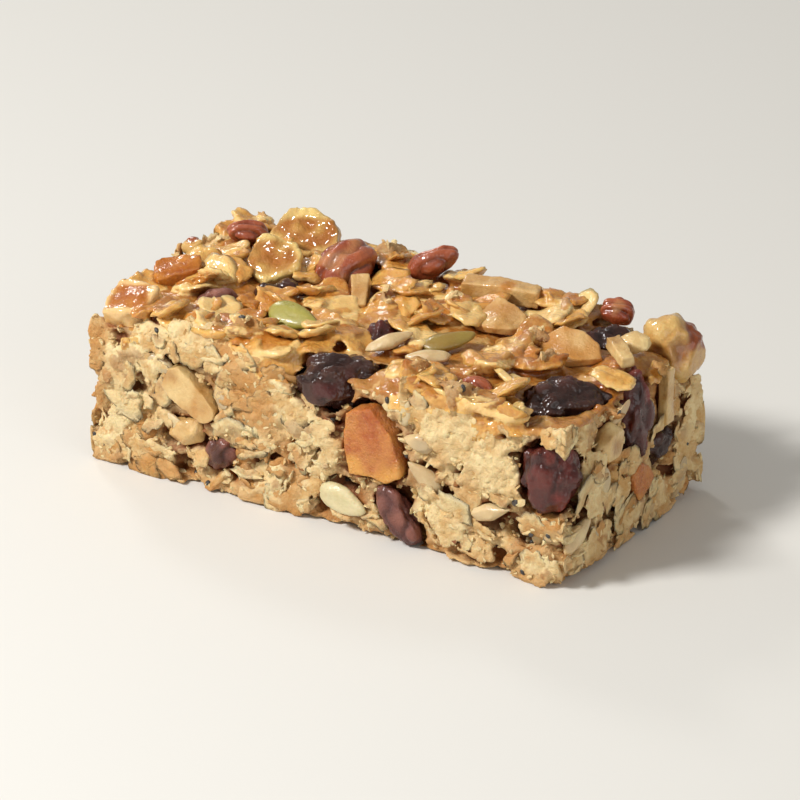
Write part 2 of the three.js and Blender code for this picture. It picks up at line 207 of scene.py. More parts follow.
# %% [markdown]
# Every finish here is food, so each material is the Principled shader with its light scattering
# under the surface, as in anything made of starch, sugar or fat. One helper adds a node with its
# settings and links, and another turns an sRGB hex colour into Blender's linear colour. Syrup is
# the shader's coat: a clear smooth film over the rough food. It has a bump of its own, because a
# film flows over the grain and only keeps soft waves, and those are what makes it glisten. Where
# there is such a film, the food below it gets a low IOR, so that the two don't both shine.

# %% Helpers for the materials
def linear(hex_colour):
    """An sRGB hex colour as linear red, green, blue and 1."""
    parts = [int(hex_colour[i:i + 2], 16) / 255 for i in (1, 3, 5)]
    return [p / 12.92 if p <= 0.04045 else ((p + 0.055) / 1.055) ** 2.4 for p in parts] + [1.0]


def add(tree, kind, links=None, **settings):
    """Adds a node, sets what is given, and links or sets each named or numbered input."""
    made = tree.nodes.new(kind)
    for key, value in settings.items():
        setattr(made, key, value)
    for key, value in (links or {}).items():
        if isinstance(value, bpy.types.NodeSocket):
            tree.links.new(value, made.inputs[key])
        else:
            made.inputs[key].default_value = value
    return made


def maths(tree, operation, *values):
    """The result of a Math node for values or other nodes' results."""
    return add(tree, "ShaderNodeMath", dict(enumerate(values)), operation=operation).outputs[0]


def blended(tree, share, first, second):
    """The first colour where share is 0 and the second where it is 1. On a Mix node that is set to
    colour, inputs 6 and 7 are the two colours and output 2 is the result."""
    return add(tree, "ShaderNodeMix", {"Factor": share, 6: first, 7: second}, data_type="RGBA").outputs[2]


WAVES_MM = 0.9  # length of the waves in a film of syrup


def food_material(name, colours, roughness, ior=1.46, scatter=0.2, radius=(1.0, 0.55, 0.3), scale_mm=1.0,
                  coat=0.0, coat_roughness=0.15, film_depth=0.12, grain_mm=0.6, grain_depth=0.3,
                  mottle_mm=3.0, third=None, rough_spread=0.15, speckle=0.6, shard_mm=2.0, shards=0.0):
    """A food finish. Colours are three hex values: in the cracks, of the darker and of the paler parts.
    Third, if given, is a hex colour where the third number of the finish is high. Mottle is the size of
    the soft patches of tone, and grain that of the fine ones, which speckle, from 0 to 1, makes stronger.
    Shards, from 0 to 1, is how much the surface looks broken into bits, each with its own tone and edge.
    The coat is a film of syrup, and film_depth is the depth of its waves in mm."""
    material = bpy.data.materials.new(name)
    material.use_nodes = True
    tree = material.node_tree
    tree.nodes.clear()
    place = add(tree, "ShaderNodeTexCoord")
    numbers = add(tree, "ShaderNodeAttribute", attribute_name="finish")
    split = add(tree, "ShaderNodeSeparateColor", {"Color": numbers.outputs["Color"]})
    mottle, grain, waves = (
        add(tree, "ShaderNodeTexNoise", {"Vector": place.outputs["Object"], "Scale": 1 / (size * MM),
                                         "Detail": detail, "Roughness": sharpness})
        for size, detail, sharpness in ((mottle_mm, 4.0, 0.6), (grain_mm, 4.0, 0.65), (WAVES_MM, 1.0, 0.5)))
    paler = maths(tree, "ADD", split.outputs[0], mottle.outputs["Fac"])
    tone = maths(tree, "MULTIPLY_ADD", grain.outputs["Fac"], speckle, paler)
    height = grain.outputs["Fac"]
    if shards:
        bent = add(tree, "ShaderNodeVectorMath", {0: mottle.outputs["Color"], 1: [0.8 * shard_mm * MM] * 3,
                                                  2: place.outputs["Object"]}, operation="MULTIPLY_ADD")
        cells = [add(tree, "ShaderNodeTexVoronoi", {"Vector": bent.outputs[0], "Scale": 1 / (shard_mm * MM)},
                     feature=feature) for feature in ("F1", "DISTANCE_TO_EDGE")]
        own = add(tree, "ShaderNodeSeparateColor", {"Color": cells[0].outputs["Color"]})
        tone = maths(tree, "MULTIPLY_ADD", own.outputs[0], shards, tone)
        edge = add(tree, "ShaderNodeMapRange", {"Value": cells[1].outputs["Distance"], "From Max": 0.12})
        step = maths(tree, "ADD", own.outputs[1], edge.outputs[0])
        height = maths(tree, "MULTIPLY_ADD", step, 0.5 * shards, height)
    share = add(tree, "ShaderNodeMapRange", {"Value": tone, "From Min": 0.5 + (speckle + shards) / 2,
                                             "From Max": 1.5 + (speckle + shards) / 2})
    body = blended(tree, share.outputs[0], linear(colours[1]), linear(colours[2]))
    # The crack colour goes where the second number of the finish is low: syrup and skin in cracks and folds,
    # and painted shade there too.
    colour = blended(tree, split.outputs[1], linear(colours[0]), body)
    if third:
        colour = blended(tree, split.outputs[2], colour, linear(third))
    rough = add(tree, "ShaderNodeMapRange", {"Value": mottle.outputs["Fac"], "From Min": 0.3, "From Max": 0.7,
                                             "To Min": roughness - rough_spread,
                                             "To Max": roughness + rough_spread})
    bump, film = (add(tree, "ShaderNodeBump", {"Height": rise, "Strength": 1.0, "Distance": depth * MM})
                  for rise, depth in ((height, grain_depth), (waves.outputs["Fac"], film_depth)))
    shader = add(tree, "ShaderNodeBsdfPrincipled", {
        "Base Color": colour, "Roughness": rough.outputs[0], "IOR": ior, "Normal": bump.outputs[0],
        "Subsurface Weight": scatter, "Subsurface Radius": radius, "Subsurface Scale": scale_mm * MM,
        "Coat Weight": coat, "Coat Roughness": coat_roughness, "Coat IOR": 1.49,
        "Coat Normal": film.outputs[0],
    })
    add(tree, "ShaderNodeOutputMaterial", {"Surface": shader.outputs[0]})
    return material


print("a mid grey of #808080 is", round(linear("#808080")[0], 3), "in linear light")

# %% [markdown]
# Oats appear in two finishes. Inside, a rolled oat is dry starch: cream, matt and slightly
# see-through, with toffee-brown syrup in the cracks. On the baked top the same flake is soaked in
# hot sugar syrup that sets like amber glass, so it is darker, golden and glossy.

# %% The finishes of oats and syrup
crumb_finish = food_material("baked_oat_crumb", ("#84421C", "#C99C5E", "#E9D29E"), 0.62, ior=1.42,
                             scale_mm=0.7, grain_mm=0.7, grain_depth=0.5, mottle_mm=3.2,
                             third="#B87A34", shard_mm=3.2, shards=0.25)
glazed_finish = food_material("syrup_glazed_oat", ("#8A4410", "#B87226", "#E6B862"), 0.36, ior=1.3,
                              scatter=0.3, scale_mm=1.1, coat=1.0, coat_roughness=0.06, grain_mm=0.9,
                              mottle_mm=2.6, third="#EBCB8C", shard_mm=3.0, shards=0.15, film_depth=0.32)
print("oats:", crumb_finish.name, "and", glazed_finish.name)

# %% [markdown]
# The dried fruit are sugar and pulp under a thin skin. Raisins are nearly black and shine in their
# folds, cranberries are a dark red that glows at thin edges, dates are a sticky mauve brown, and
# the cut apricot is orange with sharp glints of sugar grain. Candied peel was boiled in syrup, so
# its middle is clear dark amber in a cream rim.

# %% The finishes of dried fruit
raisin_finish = food_material("raisin_skin", ("#160806", "#2C1612", "#523025"), 0.55, ior=1.2,
                              scatter=0.05, scale_mm=0.6, coat=0.8, coat_roughness=0.05, mottle_mm=2.5,
                              third="#4A1E1A", film_depth=0.3)
cranberry_finish = food_material("cranberry_skin", ("#1E0A08", "#3C1814", "#682A20"), 0.5, ior=1.25,
                                 scatter=0.15, radius=(1.0, 0.2, 0.15), scale_mm=1.2, coat=0.8,
                                 coat_roughness=0.06, film_depth=0.25, third="#7C2A20")
date_finish = food_material("cut_date", ("#38191A", "#744038", "#A26A56"), 0.42, ior=1.4, scatter=0.15,
                            coat=0.3, grain_mm=0.5, grain_depth=0.4, third="#4A2A20")
apricot_finish = food_material("dried_apricot", ("#984214", "#B4561A", "#DE9A4C"), 0.3, ior=1.5,
                               scatter=0.25, radius=(1.0, 0.45, 0.15), coat=0.2, coat_roughness=0.1,
                               grain_mm=0.5, grain_depth=0.6, mottle_mm=5.0, third="#E2A24A",
                               speckle=0.9, film_depth=0.4)
amber_finish = food_material("candied_peel", ("#6E2C06", "#A4520C", "#D08A2E"), 0.4, ior=1.3, coat=0.9,
                             coat_roughness=0.06, grain_mm=0.8, third="#E4C286", film_depth=0.2)
fruit_finishes = raisin_finish, cranberry_finish, date_finish, apricot_finish, amber_finish
print("dried fruit:", ", ".join(finish.name for finish in fruit_finishes))

# %% [markdown]
# Nuts are dense, fatty and smooth where a knife cut them. A pecan keeps its ridged red-brown skin,
# an almond its cut ivory face with a tan bake, and a dried banana slice has a pale rim round an
# amber middle. Seeds have a thin smooth skin: the pumpkin seed is green, or cream where the knife
# went through it, the sunflower kernel is grey cream, and the poppy seed is a blue black.

# %% The finishes of nuts and seeds
pecan_finish = food_material("pecan_skin", ("#46140A", "#86341A", "#BA663A"), 0.34, ior=1.35, scatter=0.1,
                             coat=0.9, coat_roughness=0.06, grain_depth=0.25, mottle_mm=3.5,
                             third="#D6A468")
almond_finish = food_material("cut_almond", ("#7E4A20", "#BC8C48", "#E4C88C"), 0.4, ior=1.4, scatter=0.12,
                              scale_mm=0.8, coat=0.7, coat_roughness=0.08, grain_mm=0.8, mottle_mm=2.4,
                              third="#B87828", film_depth=0.2)
hazelnut_finish = food_material("blanched_hazelnut", ("#7A3C16", "#B88038", "#DDBA74"), 0.4, ior=1.3,
                                scale_mm=0.8, coat=0.9, coat_roughness=0.06, grain_mm=0.8,
                                third="#8E4418")
banana_finish = food_material("dried_banana", ("#8A5420", "#C48E3A", "#E2C074"), 0.42, ior=1.3,
                              scatter=0.1, scale_mm=0.6, coat=0.9, coat_roughness=0.06, grain_mm=1.0,
                              grain_depth=0.5, third="#A4621C", speckle=0.5)
pumpkin_finish = food_material("pumpkin_seed_skin", ("#4E4812", "#7C7824", "#ACA04C"), 0.34, ior=1.47,
                               coat=0.5, grain_mm=0.5, grain_depth=0.12, mottle_mm=4.0,
                               third="#8C6428", rough_spread=0.08)
cut_seed_finish = food_material("cut_pumpkin_seed", ("#7C7440", "#BCAC78", "#DDCFA4"), 0.42,
                                scatter=0.25, coat=0.2, grain_depth=0.2, third="#8E8A48")
sunflower_finish = food_material("sunflower_kernel_skin", ("#8E6A3E", "#C0A070", "#DFC898"), 0.42, ior=1.47,
                                 scatter=0.25, coat=0.4, grain_depth=0.15, third="#A4957A")
dark_seed_finish = food_material("poppy_seed_skin", ("#171412", "#2C2825", "#4A443E"), 0.4, ior=1.5,
                                 scatter=0.0, coat=0.3, grain_mm=0.3, grain_depth=0.2)
nut_finishes = pecan_finish, almond_finish, hazelnut_finish, banana_finish
seed_finishes = pumpkin_finish, cut_seed_finish, sunflower_finish, dark_seed_finish
print("nuts and chips:", ", ".join(finish.name for finish in nut_finishes))
print("seeds:", ", ".join(finish.name for finish in seed_finishes))

# %% [markdown]
# Each piece of fruit, nut or seed keeps the shape and place of its CAD node. Its facets are turned
# into small even squares and softened, and then its own relief is pressed in: folds in a raisin,
# long ridges on a pecan, sugar grain on an apricot. The relief follows the piece's own long axis,
# which is found from where its points lie. Each relief gives four values for every point: how far
# it is pushed out in mm, how pale it is, how far it stands out of the folds, which gives the folds
# and hollows the darker crack colour as painted shade, and the third number of its finish.

# %% The relief of each kind of piece
def own_axes(points):
    """The points measured along the piece's own length, width and thickness, from its middle."""
    middle = points.mean(axis=0)
    _, directions = np.linalg.eigh(np.cov((points - middle).T))
    return (points - middle) @ directions[:, ::-1]


def folds(local, size, seed, lengthwise=0.6):
    """Sharp valleys between rounded folds that run along the piece: 0 in a valley, near 1 on a fold."""
    run = local * np.array([lengthwise, 1, 1])
    shifts = [smooth_noise(run + 9 * k, size * 1.4, seed + k) for k in (1, 2, 3)]
    bent = run + 0.35 * size * np.stack(shifts, 1)
    return np.minimum(1, 1.9 * np.abs(smooth_noise(bent, size, seed)))


def raisin_relief(local, points, seed):
    deep, fine = folds(local, 3.2, seed), folds(local, 1.5, seed + 5)
    push = 1.0 * (deep - 0.6) + 0.5 * (fine - 0.6)
    return push, smooth_noise(points, 4, seed) * 0.3 + 0.45, 0.35 + 0.65 * deep, \
        ramp(smooth_noise(points, 5, seed + 9), 0.35, 0.8)


def fruit_relief(local, points, seed):
    deep, fine = folds(local, 2.8, seed), folds(local, 1.4, seed + 5)
    push = 0.75 * (deep - 0.6) + 0.42 * (fine - 0.6)
    return push, smooth_noise(points, 4, seed) * 0.35 + 0.5, 0.3 + 0.7 * deep, \
        ramp(smooth_noise(points, 5, seed + 9), 0.2, 0.8)


def apricot_relief(local, points, seed):
    grain = smooth_noise(points, 0.8, seed)
    push = 0.08 * grain + 0.35 * smooth_noise(points, 4, seed + 1) - 0.25 * (1 - folds(local, 3.5, seed, 0.4))
    pale = 0.5 + 0.12 * grain + 0.35 * smooth_noise(points, 6, seed)
    down = (points[:, 2].max() - points[:, 2]) / np.ptp(points[:, 2])  # it goes yellow toward its lower end
    return push, pale, 0.85 + 0.15 * ramp(grain, -0.5, 0.2), \
        0.9 * ramp(down + 0.3 * smooth_noise(points, 4, seed + 3), 0.55, 1.05)


def pecan_relief(local, points, seed):
    half_width = np.abs(local[:, 1]).max()
    wander = 0.25 * smooth_noise(points, 3, seed)
    ridges = np.sqrt(np.abs(np.sin((local[:, 1] / half_width + wander) * 4.2)))
    fine = folds(local, 1.8, seed + 2, 0.3)
    push = 0.8 * (ridges - 0.7) + 0.2 * (fine - 0.5) + 0.35 * smooth_noise(points, 5, seed + 6)
    return push, 0.4 + 0.4 * smooth_noise(points, 3, seed), 0.25 + 0.75 * ridges, \
        ramp(smooth_noise(points, 3.5, seed + 4), 0.35, 0.7) * 0.3


def nut_relief(local, points, seed):
    push = 0.25 * smooth_noise(points, 4, seed) + 0.12 * smooth_noise(points, 1.4, seed + 1)
    return push, 0.5 + 0.5 * smooth_noise(points, 4, seed), 0.7 + 0.3 * ramp(push, -0.2, 0), \
        ramp(smooth_noise(points, 5, seed + 3), 0.25, 0.6) * 0.7


def hazelnut_relief(local, points, seed):
    rough = 0.8 * smooth_noise(points, 4.2, seed) + 0.7 * smooth_noise(points, 2.4, seed + 1)
    fine = smooth_noise(points, 1.2, seed + 2)
    skin = ramp(0.7 * smooth_noise(points, 5, seed + 3) - 0.5 * rough + 0.2 * fine, -0.1, 0.25)
    return rough + 0.25 * fine, 0.3 + 0.4 * rough + 0.2 * fine, 0.3 + 0.7 * ramp(rough, -0.7, 0.0), skin


def banana_relief(local, points, seed):
    reach = np.abs(local).max(axis=0)
    out = np.hypot(local[:, 0] / reach[0], local[:, 1] / reach[1])
    rim = ramp(out + 0.22 * smooth_noise(points, 4, seed), 0.62, 0.9)
    rough = 0.8 * smooth_noise(points, 3.4, seed + 1) + 0.5 * smooth_noise(points, 1.7, seed + 2)
    push = 0.2 * rim + rough * (1 - 0.6 * rim) + 0.12 * smooth_noise(points, 0.9, seed + 3)
    return push, 0.35 + 0.65 * rim, 0.7 + 0.3 * ramp(rough, -0.6, 0.1), \
        (1 - rim) * (0.75 + 0.6 * smooth_noise(points, 2.4, seed))


def peel_relief(local, points, seed):
    reach = np.abs(local).max(axis=0)
    rim = ramp(np.abs(local[:, :2] / reach[:2]).max(axis=1) + 0.12 * smooth_noise(points, 3, seed), 0.6, 0.8)
    push = 0.3 * rim + 0.5 * smooth_noise(points, 3, seed + 1) + 0.2 * smooth_noise(points, 1.3, seed + 2)
    return push, 0.4 + 0.3 * smooth_noise(points, 4, seed + 3) + 0.4 * rim, 0.8 + 0.2 * rim, rim * 0.8


def seed_relief(local, points, seed):
    reach = np.abs(local).max(axis=0)
    lines = np.sin(local[:, 1] / reach[1] * 6) * 0.05
    edge = ramp(np.hypot(local[:, 0] / reach[0], local[:, 1] / reach[1]), 0.8, 0.95)
    push = lines + 0.1 * edge + 0.12 * smooth_noise(points, 3, seed)
    return push, 0.5 + 0.5 * smooth_noise(points, 5, seed), np.ones(len(points)), \
        ramp(smooth_noise(points, 6, seed + 2), 0.3, 0.8) * 0.5


KINDS = {  # finish, relief, how many rounds of softening
    "raisin": (raisin_finish, raisin_relief, 6),
    "cranberry": (cranberry_finish, fruit_relief, 6),
    "date": (date_finish, fruit_relief, 5),
    "apricot": (apricot_finish, apricot_relief, 5),
    "peel": (amber_finish, peel_relief, 4),
    "syruped": (amber_finish, apricot_relief, 3),
    "pecan": (pecan_finish, pecan_relief, 6),
    "almond": (almond_finish, nut_relief, 1),
    "hazelnut": (hazelnut_finish, hazelnut_relief, 8),
    "nut": (hazelnut_finish, hazelnut_relief, 8),
    "banana": (banana_finish, banana_relief, 3),
    "pumpkin": (pumpkin_finish, seed_relief, 8),
    "cut_seed": (cut_seed_finish, seed_relief, 8),
    "sunflower": (sunflower_finish, seed_relief, 6),
}

# Pieces that lie under syrup, and how much, and pieces that aren't like the others of their kind:
GLAZED = {"almond_slice_1": 1.0, "almond_slice_2": 0.5, "almond_sliver_1": 0.7, "almond_sliver_2": 0.6,
          "almond_chunk_1": 0.4, "almond_chunk_2": 0.5, "pumpkin_seed_2": 0.9}
SPECIAL = {"date_1": "peel", "apricot_1": "syruped", "pumpkin_seed_3": "cut_seed"}
print(len(KINDS), "kinds of piece, each with its finish and relief")

# %% [markdown]
# Now every piece gets the surface of its kind and takes its CAD node's place. Small pieces and
# almonds, whose cut edges are crisp, get smaller squares. Their surfaces are also kept together as
# one tree, which later tells a flake whether it would hide one of them.

# %% Every separate piece of fruit, nut and seed
FINE_MM, PLAIN_MM = 0.32, 0.44  # sides of the squares
SMALL_MM = 11  # a piece is small if its box is less than this from corner to corner
fruit_triangles = 0
piece_points, piece_faces, piece_start = [], [], 0
for number, node in enumerate(sorted(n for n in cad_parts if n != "oat_mass")):
    finish, relief, rounds = KINDS[SPECIAL.get(node, node.split("_")[0])]
    low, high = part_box(node)
    is_fine = (high - low).length / MM < SMALL_MM or node.startswith("almond")
    points, faces = node_surface(node, FINE_MM if is_fine else PLAIN_MM, rounds)
    # The value after pale darkens the folds and hollows that the relief pushes in: painted shade.
    push, pale, out_of_crease_shade, third = relief(own_axes(points), points, 100 + 7 * number)
    points = points + outward(points, faces) * np.asarray(push)[:, None]
    third = np.clip(third + GLAZED.get(node, 0.0) * (0.6 + 0.4 * smooth_noise(points, 3, number)), 0, 1)
    piece = make_piece(node + "_dressed", points, faces, np.stack([pale, out_of_crease_shade, third], 1), finish)
    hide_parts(node)
    piece_points.append(points)
    piece_faces.append(faces + piece_start)
    piece_start += len(points)
    fruit_triangles += 2 * len(faces)
piece_faces = np.concatenate(piece_faces)
pieces_tree = BVHTree.FromPolygons(np.concatenate(piece_points).tolist(), piece_faces.tolist())
print("fruit, nuts and seeds:", number + 1, "pieces,", fruit_triangles, "triangles")

# %% [markdown]
# The oat mass is the bed that everything lies in. On the cut sides it is torn crumb: lumps of two
# sizes with cracks between them, pressed flatter than they are wide, and here and there a lump that
# fell out and left a syrupy hollow, which the skin's painted shade darkens later. On the top it is a
# rolling bed of set syrup. Its base, pressed against the tray, is nearly flat.

# %% The bed of crumb and syrup
SIDE, TOP, BASE = 0.0, 1.0, 2.0  # the three regions of the bar's surface
HOLLOWS = 0.22  # the share of the lumps that fell out of the cut sides
FLATTENED = np.array([1, 1, 1.7])  # lumps are wider than they are high, because the slab was pressed


def crumb_lumps(points):
    """The large lumps of the torn crumb: a chance number of each point's lump, and how far a crack is."""
    return lump_noise(points * FLATTENED, 5.5, 3)


bed_points, bed_faces = node_surface("oat_mass", 0.65, 3)
bed_out = outward(bed_points, bed_faces)
top_share = ramp(bed_out[:, 2], 0.35, 0.75) * ramp(bed_points[:, 2], CRUST - 7, CRUST - 3)
base_share = ramp(-bed_out[:, 2], 0.5, 0.8) * ramp(-bed_points[:, 2], -2.5, -1)
lump, crack = crumb_lumps(bed_points)
bit, bit_crack = lump_noise(bed_points * np.array([1, 1, 1.4]), 2.6, 4)
fallen = (lump < HOLLOWS) * ramp(crack, 0.02, 0.2)
side_push = (0.9 * (lump - 0.5) + 0.7 * (ramp(crack, 0, 0.22) - 0.8) - 3.3 * fallen - 0.5
             + 0.5 * (bit - 0.5) + 0.35 * (ramp(bit_crack, 0, 0.3) - 0.7))
top_push = 0.9 * smooth_noise(bed_points, 5, 6) + 0.5 * smooth_noise(bed_points, 2.2, 7) + 0.2
base_push = -0.4 - 0.3 * smooth_noise(bed_points, 6, 8)
push = side_push * (1 - top_share) * (1 - base_share) + top_push * top_share + base_push * base_share
bed_points = bed_points + bed_out * push[:, None]
bed_tone = 0.45 + 0.4 * (bit - 0.5) + 0.5 * (lump - 0.5)
bed_region = np.where(top_share > 0.5, TOP, np.where(base_share > 0.5, BASE, SIDE))
bed_tree = BVHTree.FromPolygons(bed_points.tolist(), bed_faces.tolist())
print("bed:", len(bed_faces), "squares,", round(100 * fallen.mean()), "% of it in hollows")

# %% [markdown]
# Rolled oats are groats steamed and pressed between rollers: oval flakes about 10 mm long and less
# than 1 mm thick, with a furrow along the middle, cracks in from the rim and edges that curl. In a
# bar, syrup and crumb coat most of them, so these are 1 to 2 mm thick. One function makes many flakes
# at once on a round grid: each has its own outline, cracks, curl and ripples. The grid's points are
# at an angle and a reach from the middle, on the upper or lower side.

# %% How a rolled oat flake is shaped
def round_grid(segments, rings):
    """Angle, reach and side of each point of a thin disc, and its triangles."""
    angles, reaches, sides, starts = [], [], [], {}
    for side in (1, -1):
        for ring in range(rings + (side > 0)):
            starts[side, ring] = len(angles)
            for k in range(segments if ring else 1):
                angles.append(2 * math.pi * (k + 0.5 * (ring % 2)) / segments)
                reaches.append(ring / rings)
                sides.append(side * (ring < rings))
    starts[-1, rings] = starts[1, rings]
    triangles = []
    for side in (1, -1):
        for ring in range(rings):
            inner, outer = starts[side, ring], starts[side, ring + 1]
            for k in range(segments):
                after = (k + 1) % segments
                if ring == 0:
                    made = [(inner, outer + k, outer + after)]
                elif ring % 2:
                    made = [(inner + k, outer + after, inner + after), (inner + k, outer + k, outer + after)]
                else:
                    made = [(inner + k, outer + k, inner + after), (inner + after, outer + k, outer + after)]
                triangles += made if side > 0 else [t[::-1] for t in made]
    return np.array(angles), np.array(reaches), np.array(sides), np.array(triangles)


# A kind of flake: its grid, its least and most thickness and how far it curls, both in mm, and how torn
# it is, from 0 for whole to 1, which is how deeply the rims are cracked and how many are broken.
Kind = namedtuple("Kind", "segments rings thick crumpled torn")
LARGE_GLAZED = Kind(24, 5, (1.4, 1.9), 0.6, 0.15)
GLAZED_OVER = Kind(24, 4, (1.3, 2.0), 0.7, 0.25)
LARGE_CRUMBLY = Kind(20, 4, (1.2, 1.7), 0.7, 0.4)
CRUMBLY = Kind(22, 3, (1.0, 1.5), 0.8, 0.6)
AT_THE_RIM = Kind(20, 3, (1.2, 1.8), 0.7, 0.4)
PRESSED_FLAT = Kind(16, 3, (0.8, 1.0), 0.12, 0.1)
LOOSE_GLAZED = Kind(28, 4, (1.0, 1.6), 0.7, 0.3)
LOOSE_TORN = Kind(30, 3, (0.6, 1.0), 0.7, 0.85)


def oat_flakes(draw, kind, sizes):
    """Flakes of the given lengths, widths and thicknesses that lie flat round the middle: their points,
    triangles, and each point's share of the way to the rim."""
    angle, reach, side, triangles = round_grid(kind.segments, kind.rings)
    crumpled, torn = kind.crumpled, kind.torn
    count = len(sizes)
    length, width, thick = (sizes[:, k:k + 1] / 2 for k in range(3))
    outline = np.ones((count, len(angle)))
    for waves, depth in ((2, 0.06), (3, 0.06), (5, 0.03 + 0.03 * torn), (8, 0.01 + 0.04 * torn)):
        outline += depth * np.sin(waves * angle + 2 * math.pi * draw.random((count, 1)))
    for _ in range(4):  # cracks in from the rim
        where = 2 * math.pi * draw.random((count, 1))
        gap = np.abs((angle - where + math.pi) % (2 * math.pi) - math.pi)
        depth = (0.12 + 0.25 * torn) * draw.random((count, 1)) ** 2 + 0.03
        outline -= depth * np.exp(-((gap / 0.16) ** 2)) * reach**3
    outline += 0.2 * torn * (draw.random((count, len(angle))) - 0.5) * (reach > 0.9)
    x = reach * outline * np.cos(angle)
    y = reach * outline * np.sin(angle)
    # Where x is cut short the flake broke off, then it curls, ripples and gets its furrow and thickness.
    broken = np.where(draw.random((count, 1)) < torn, 0.1 + 0.7 * draw.random((count, 1)), 2.0)
    x = np.minimum(x, broken + 0.16 * draw.random((count, len(angle))))
    curl = crumpled * (2 * draw.random((count, 3)) - 0.7)
    z = curl[:, :1] * x**2 + curl[:, 1:2] * y**2 + curl[:, 2:] * x * y
    for size in (0.9, 0.45):
        turn = 2 * math.pi * draw.random((count, 3, 1))
        along = (x * np.cos(turn[:, 0]) + y * np.sin(turn[:, 0])) / size
        z = z + 0.42 * crumpled * size * np.sin(2 * math.pi * along / 1.3 + turn[:, 1])
    furrow = 0.35 * np.exp(-((y / 0.16) ** 2)) * (1 - x**2)
    z = z - furrow * (draw.random((count, 1)) < 0.6)
    z = z + side * thick * (1 - 0.6 * reach**4) + 0.07 * (draw.random((count, len(angle))) - 0.5)
    return np.stack([x * length, y * width, z], 2), triangles, np.broadcast_to(reach, (count, len(angle)))


sample = oat_flakes(np.random.default_rng(1), LARGE_GLAZED, np.array([[10.0, 7.5, 0.9]]))
print("one flake has", len(sample[1]), "triangles and is", np.round(np.ptp(sample[0][0], axis=0), 1), "mm")

# %% [markdown]
# Flakes are laid on each side of the bar in that side's own directions: u along it, v across it, and
# out of it. The CAD's own flakes come first, by the same rule and the same draws as there, so that
# the detailed flakes lie where the solid's are. Further layers are laid between them. On the cut
# sides many lie level and show their edges, because the slab was pressed from above.

# %% The sides of the bar and how a flake is placed
# A side: where u and v start, how long it is along u, from where to where it goes along v, and for
# the CAD's flakes the seed of their draws, the largest lean in degrees and how far out they lie.
Face = namedtuple("Face", "origin u v length low high seed lean out")
FACES = {
    "top": Face((0, 0, CRUST), (1, 0, 0), (0, 1, 0), LENGTH, -WIDTH / 2, WIDTH / 2, 11, 32, 0.9),
    "front": Face((0, -WIDTH / 2, 0), (1, 0, 0), (0, 0, 1), LENGTH, 1, CRUST, 23, 42, -1.2),
    "right": Face((LENGTH / 2, 0, 0), (0, 1, 0), (0, 0, 1), WIDTH, 1, CRUST, 37, 42, -1.2),
    "back": Face((0, WIDTH / 2, 0), (-1, 0, 0), (0, 0, 1), LENGTH, 1, CRUST, 41, 42, -1.2),
    "left": Face((-LENGTH / 2, 0, 0), (0, -1, 0), (0, 0, 1), WIDTH, 1, CRUST, 53, 42, -1.2),
    "base": Face((0, 0, 0), (1, 0, 0), (0, -1, 0), LENGTH, -WIDTH / 2, WIDTH / 2, 61, 3, -0.6),
}
CUT_SIDES = ("front", "right", "back", "left")
# Each flake is a row of numbers: where it lies along u, along v and outward, how long and wide it
# is, how it is turned, how far and to which side it leans, and 1 if it is a kernel instead.
AT_U, AT_V, AT_OUT, LONG, WIDE, SPIN, LEAN, TOWARD, KERNEL = range(9)


def directions(face):
    """A face's u, v and outward directions."""
    u, v = np.array(face.u, float), np.array(face.v, float)
    return u, v, np.cross(u, v)


def turns(face, rows):
    """For each flake, the turn that lays it on the face: spun in it, then leaning in one direction."""
    spin, lean, toward = rows[:, [SPIN, LEAN, TOWARD]].T

    def about_z(angle):
        c, s, o, i = np.cos(angle), np.sin(angle), np.zeros_like(angle), np.ones_like(angle)
        return np.stack([c, -s, o, s, c, o, o, o, i], 1).reshape(-1, 3, 3)

    c, s, o, i = np.cos(lean), np.sin(lean), np.zeros_like(lean), np.ones_like(lean)
    about_y = np.stack([c, o, s, o, i, o, -s, o, c], 1).reshape(-1, 3, 3)
    return np.stack(directions(face), 1) @ about_z(toward) @ about_y @ about_z(spin - toward)


def places(face, rows):
    """The middle of each flake on a face."""
    u, v, out = directions(face)
    return (np.array(face.origin, float) + rows[:, AT_U, None] * u + rows[:, AT_V, None] * v
            + rows[:, AT_OUT, None] * out)


def cells(face, pitch):
    """How many columns and lines of cells of about this size a face has."""
    return round(face.length / pitch), round((face.high - face.low) / pitch)


def solid_flakes(face):
    """The rows of what the CAD's oat mass has fused to it on a face, by the CAD's own rule."""
    state = face.seed
    rows = []

    def draw():
        nonlocal state
        state = (state * 16807) % 2147483647
        return state / 2147483647

    columns, lines = cells(face, 11.0)
    for cell in range(columns * lines):
        column = cell % columns + 0.5 + 0.7 * (draw() - 0.5)
        line = cell // columns + 0.5 + 0.7 * (draw() - 0.5)
        at_u = (column / columns - 0.5) * face.length * 0.97
        at_v = face.low + line / lines * (face.high - face.low)
        out = face.out + 1.2 * (draw() - 0.5)
        length = 9 + 3 * draw()
        width = length * (0.68 + 0.22 * draw())
        spin, lean, toward = 2 * math.pi * draw(), math.radians(face.lean) * draw(), 2 * math.pi * draw()
        is_kernel = draw() < 0.1
        draw()  # the CAD's ripples take one more
        rows.append((at_u, at_v, out, length, width, spin, lean, toward, is_kernel))
    return np.array(rows)


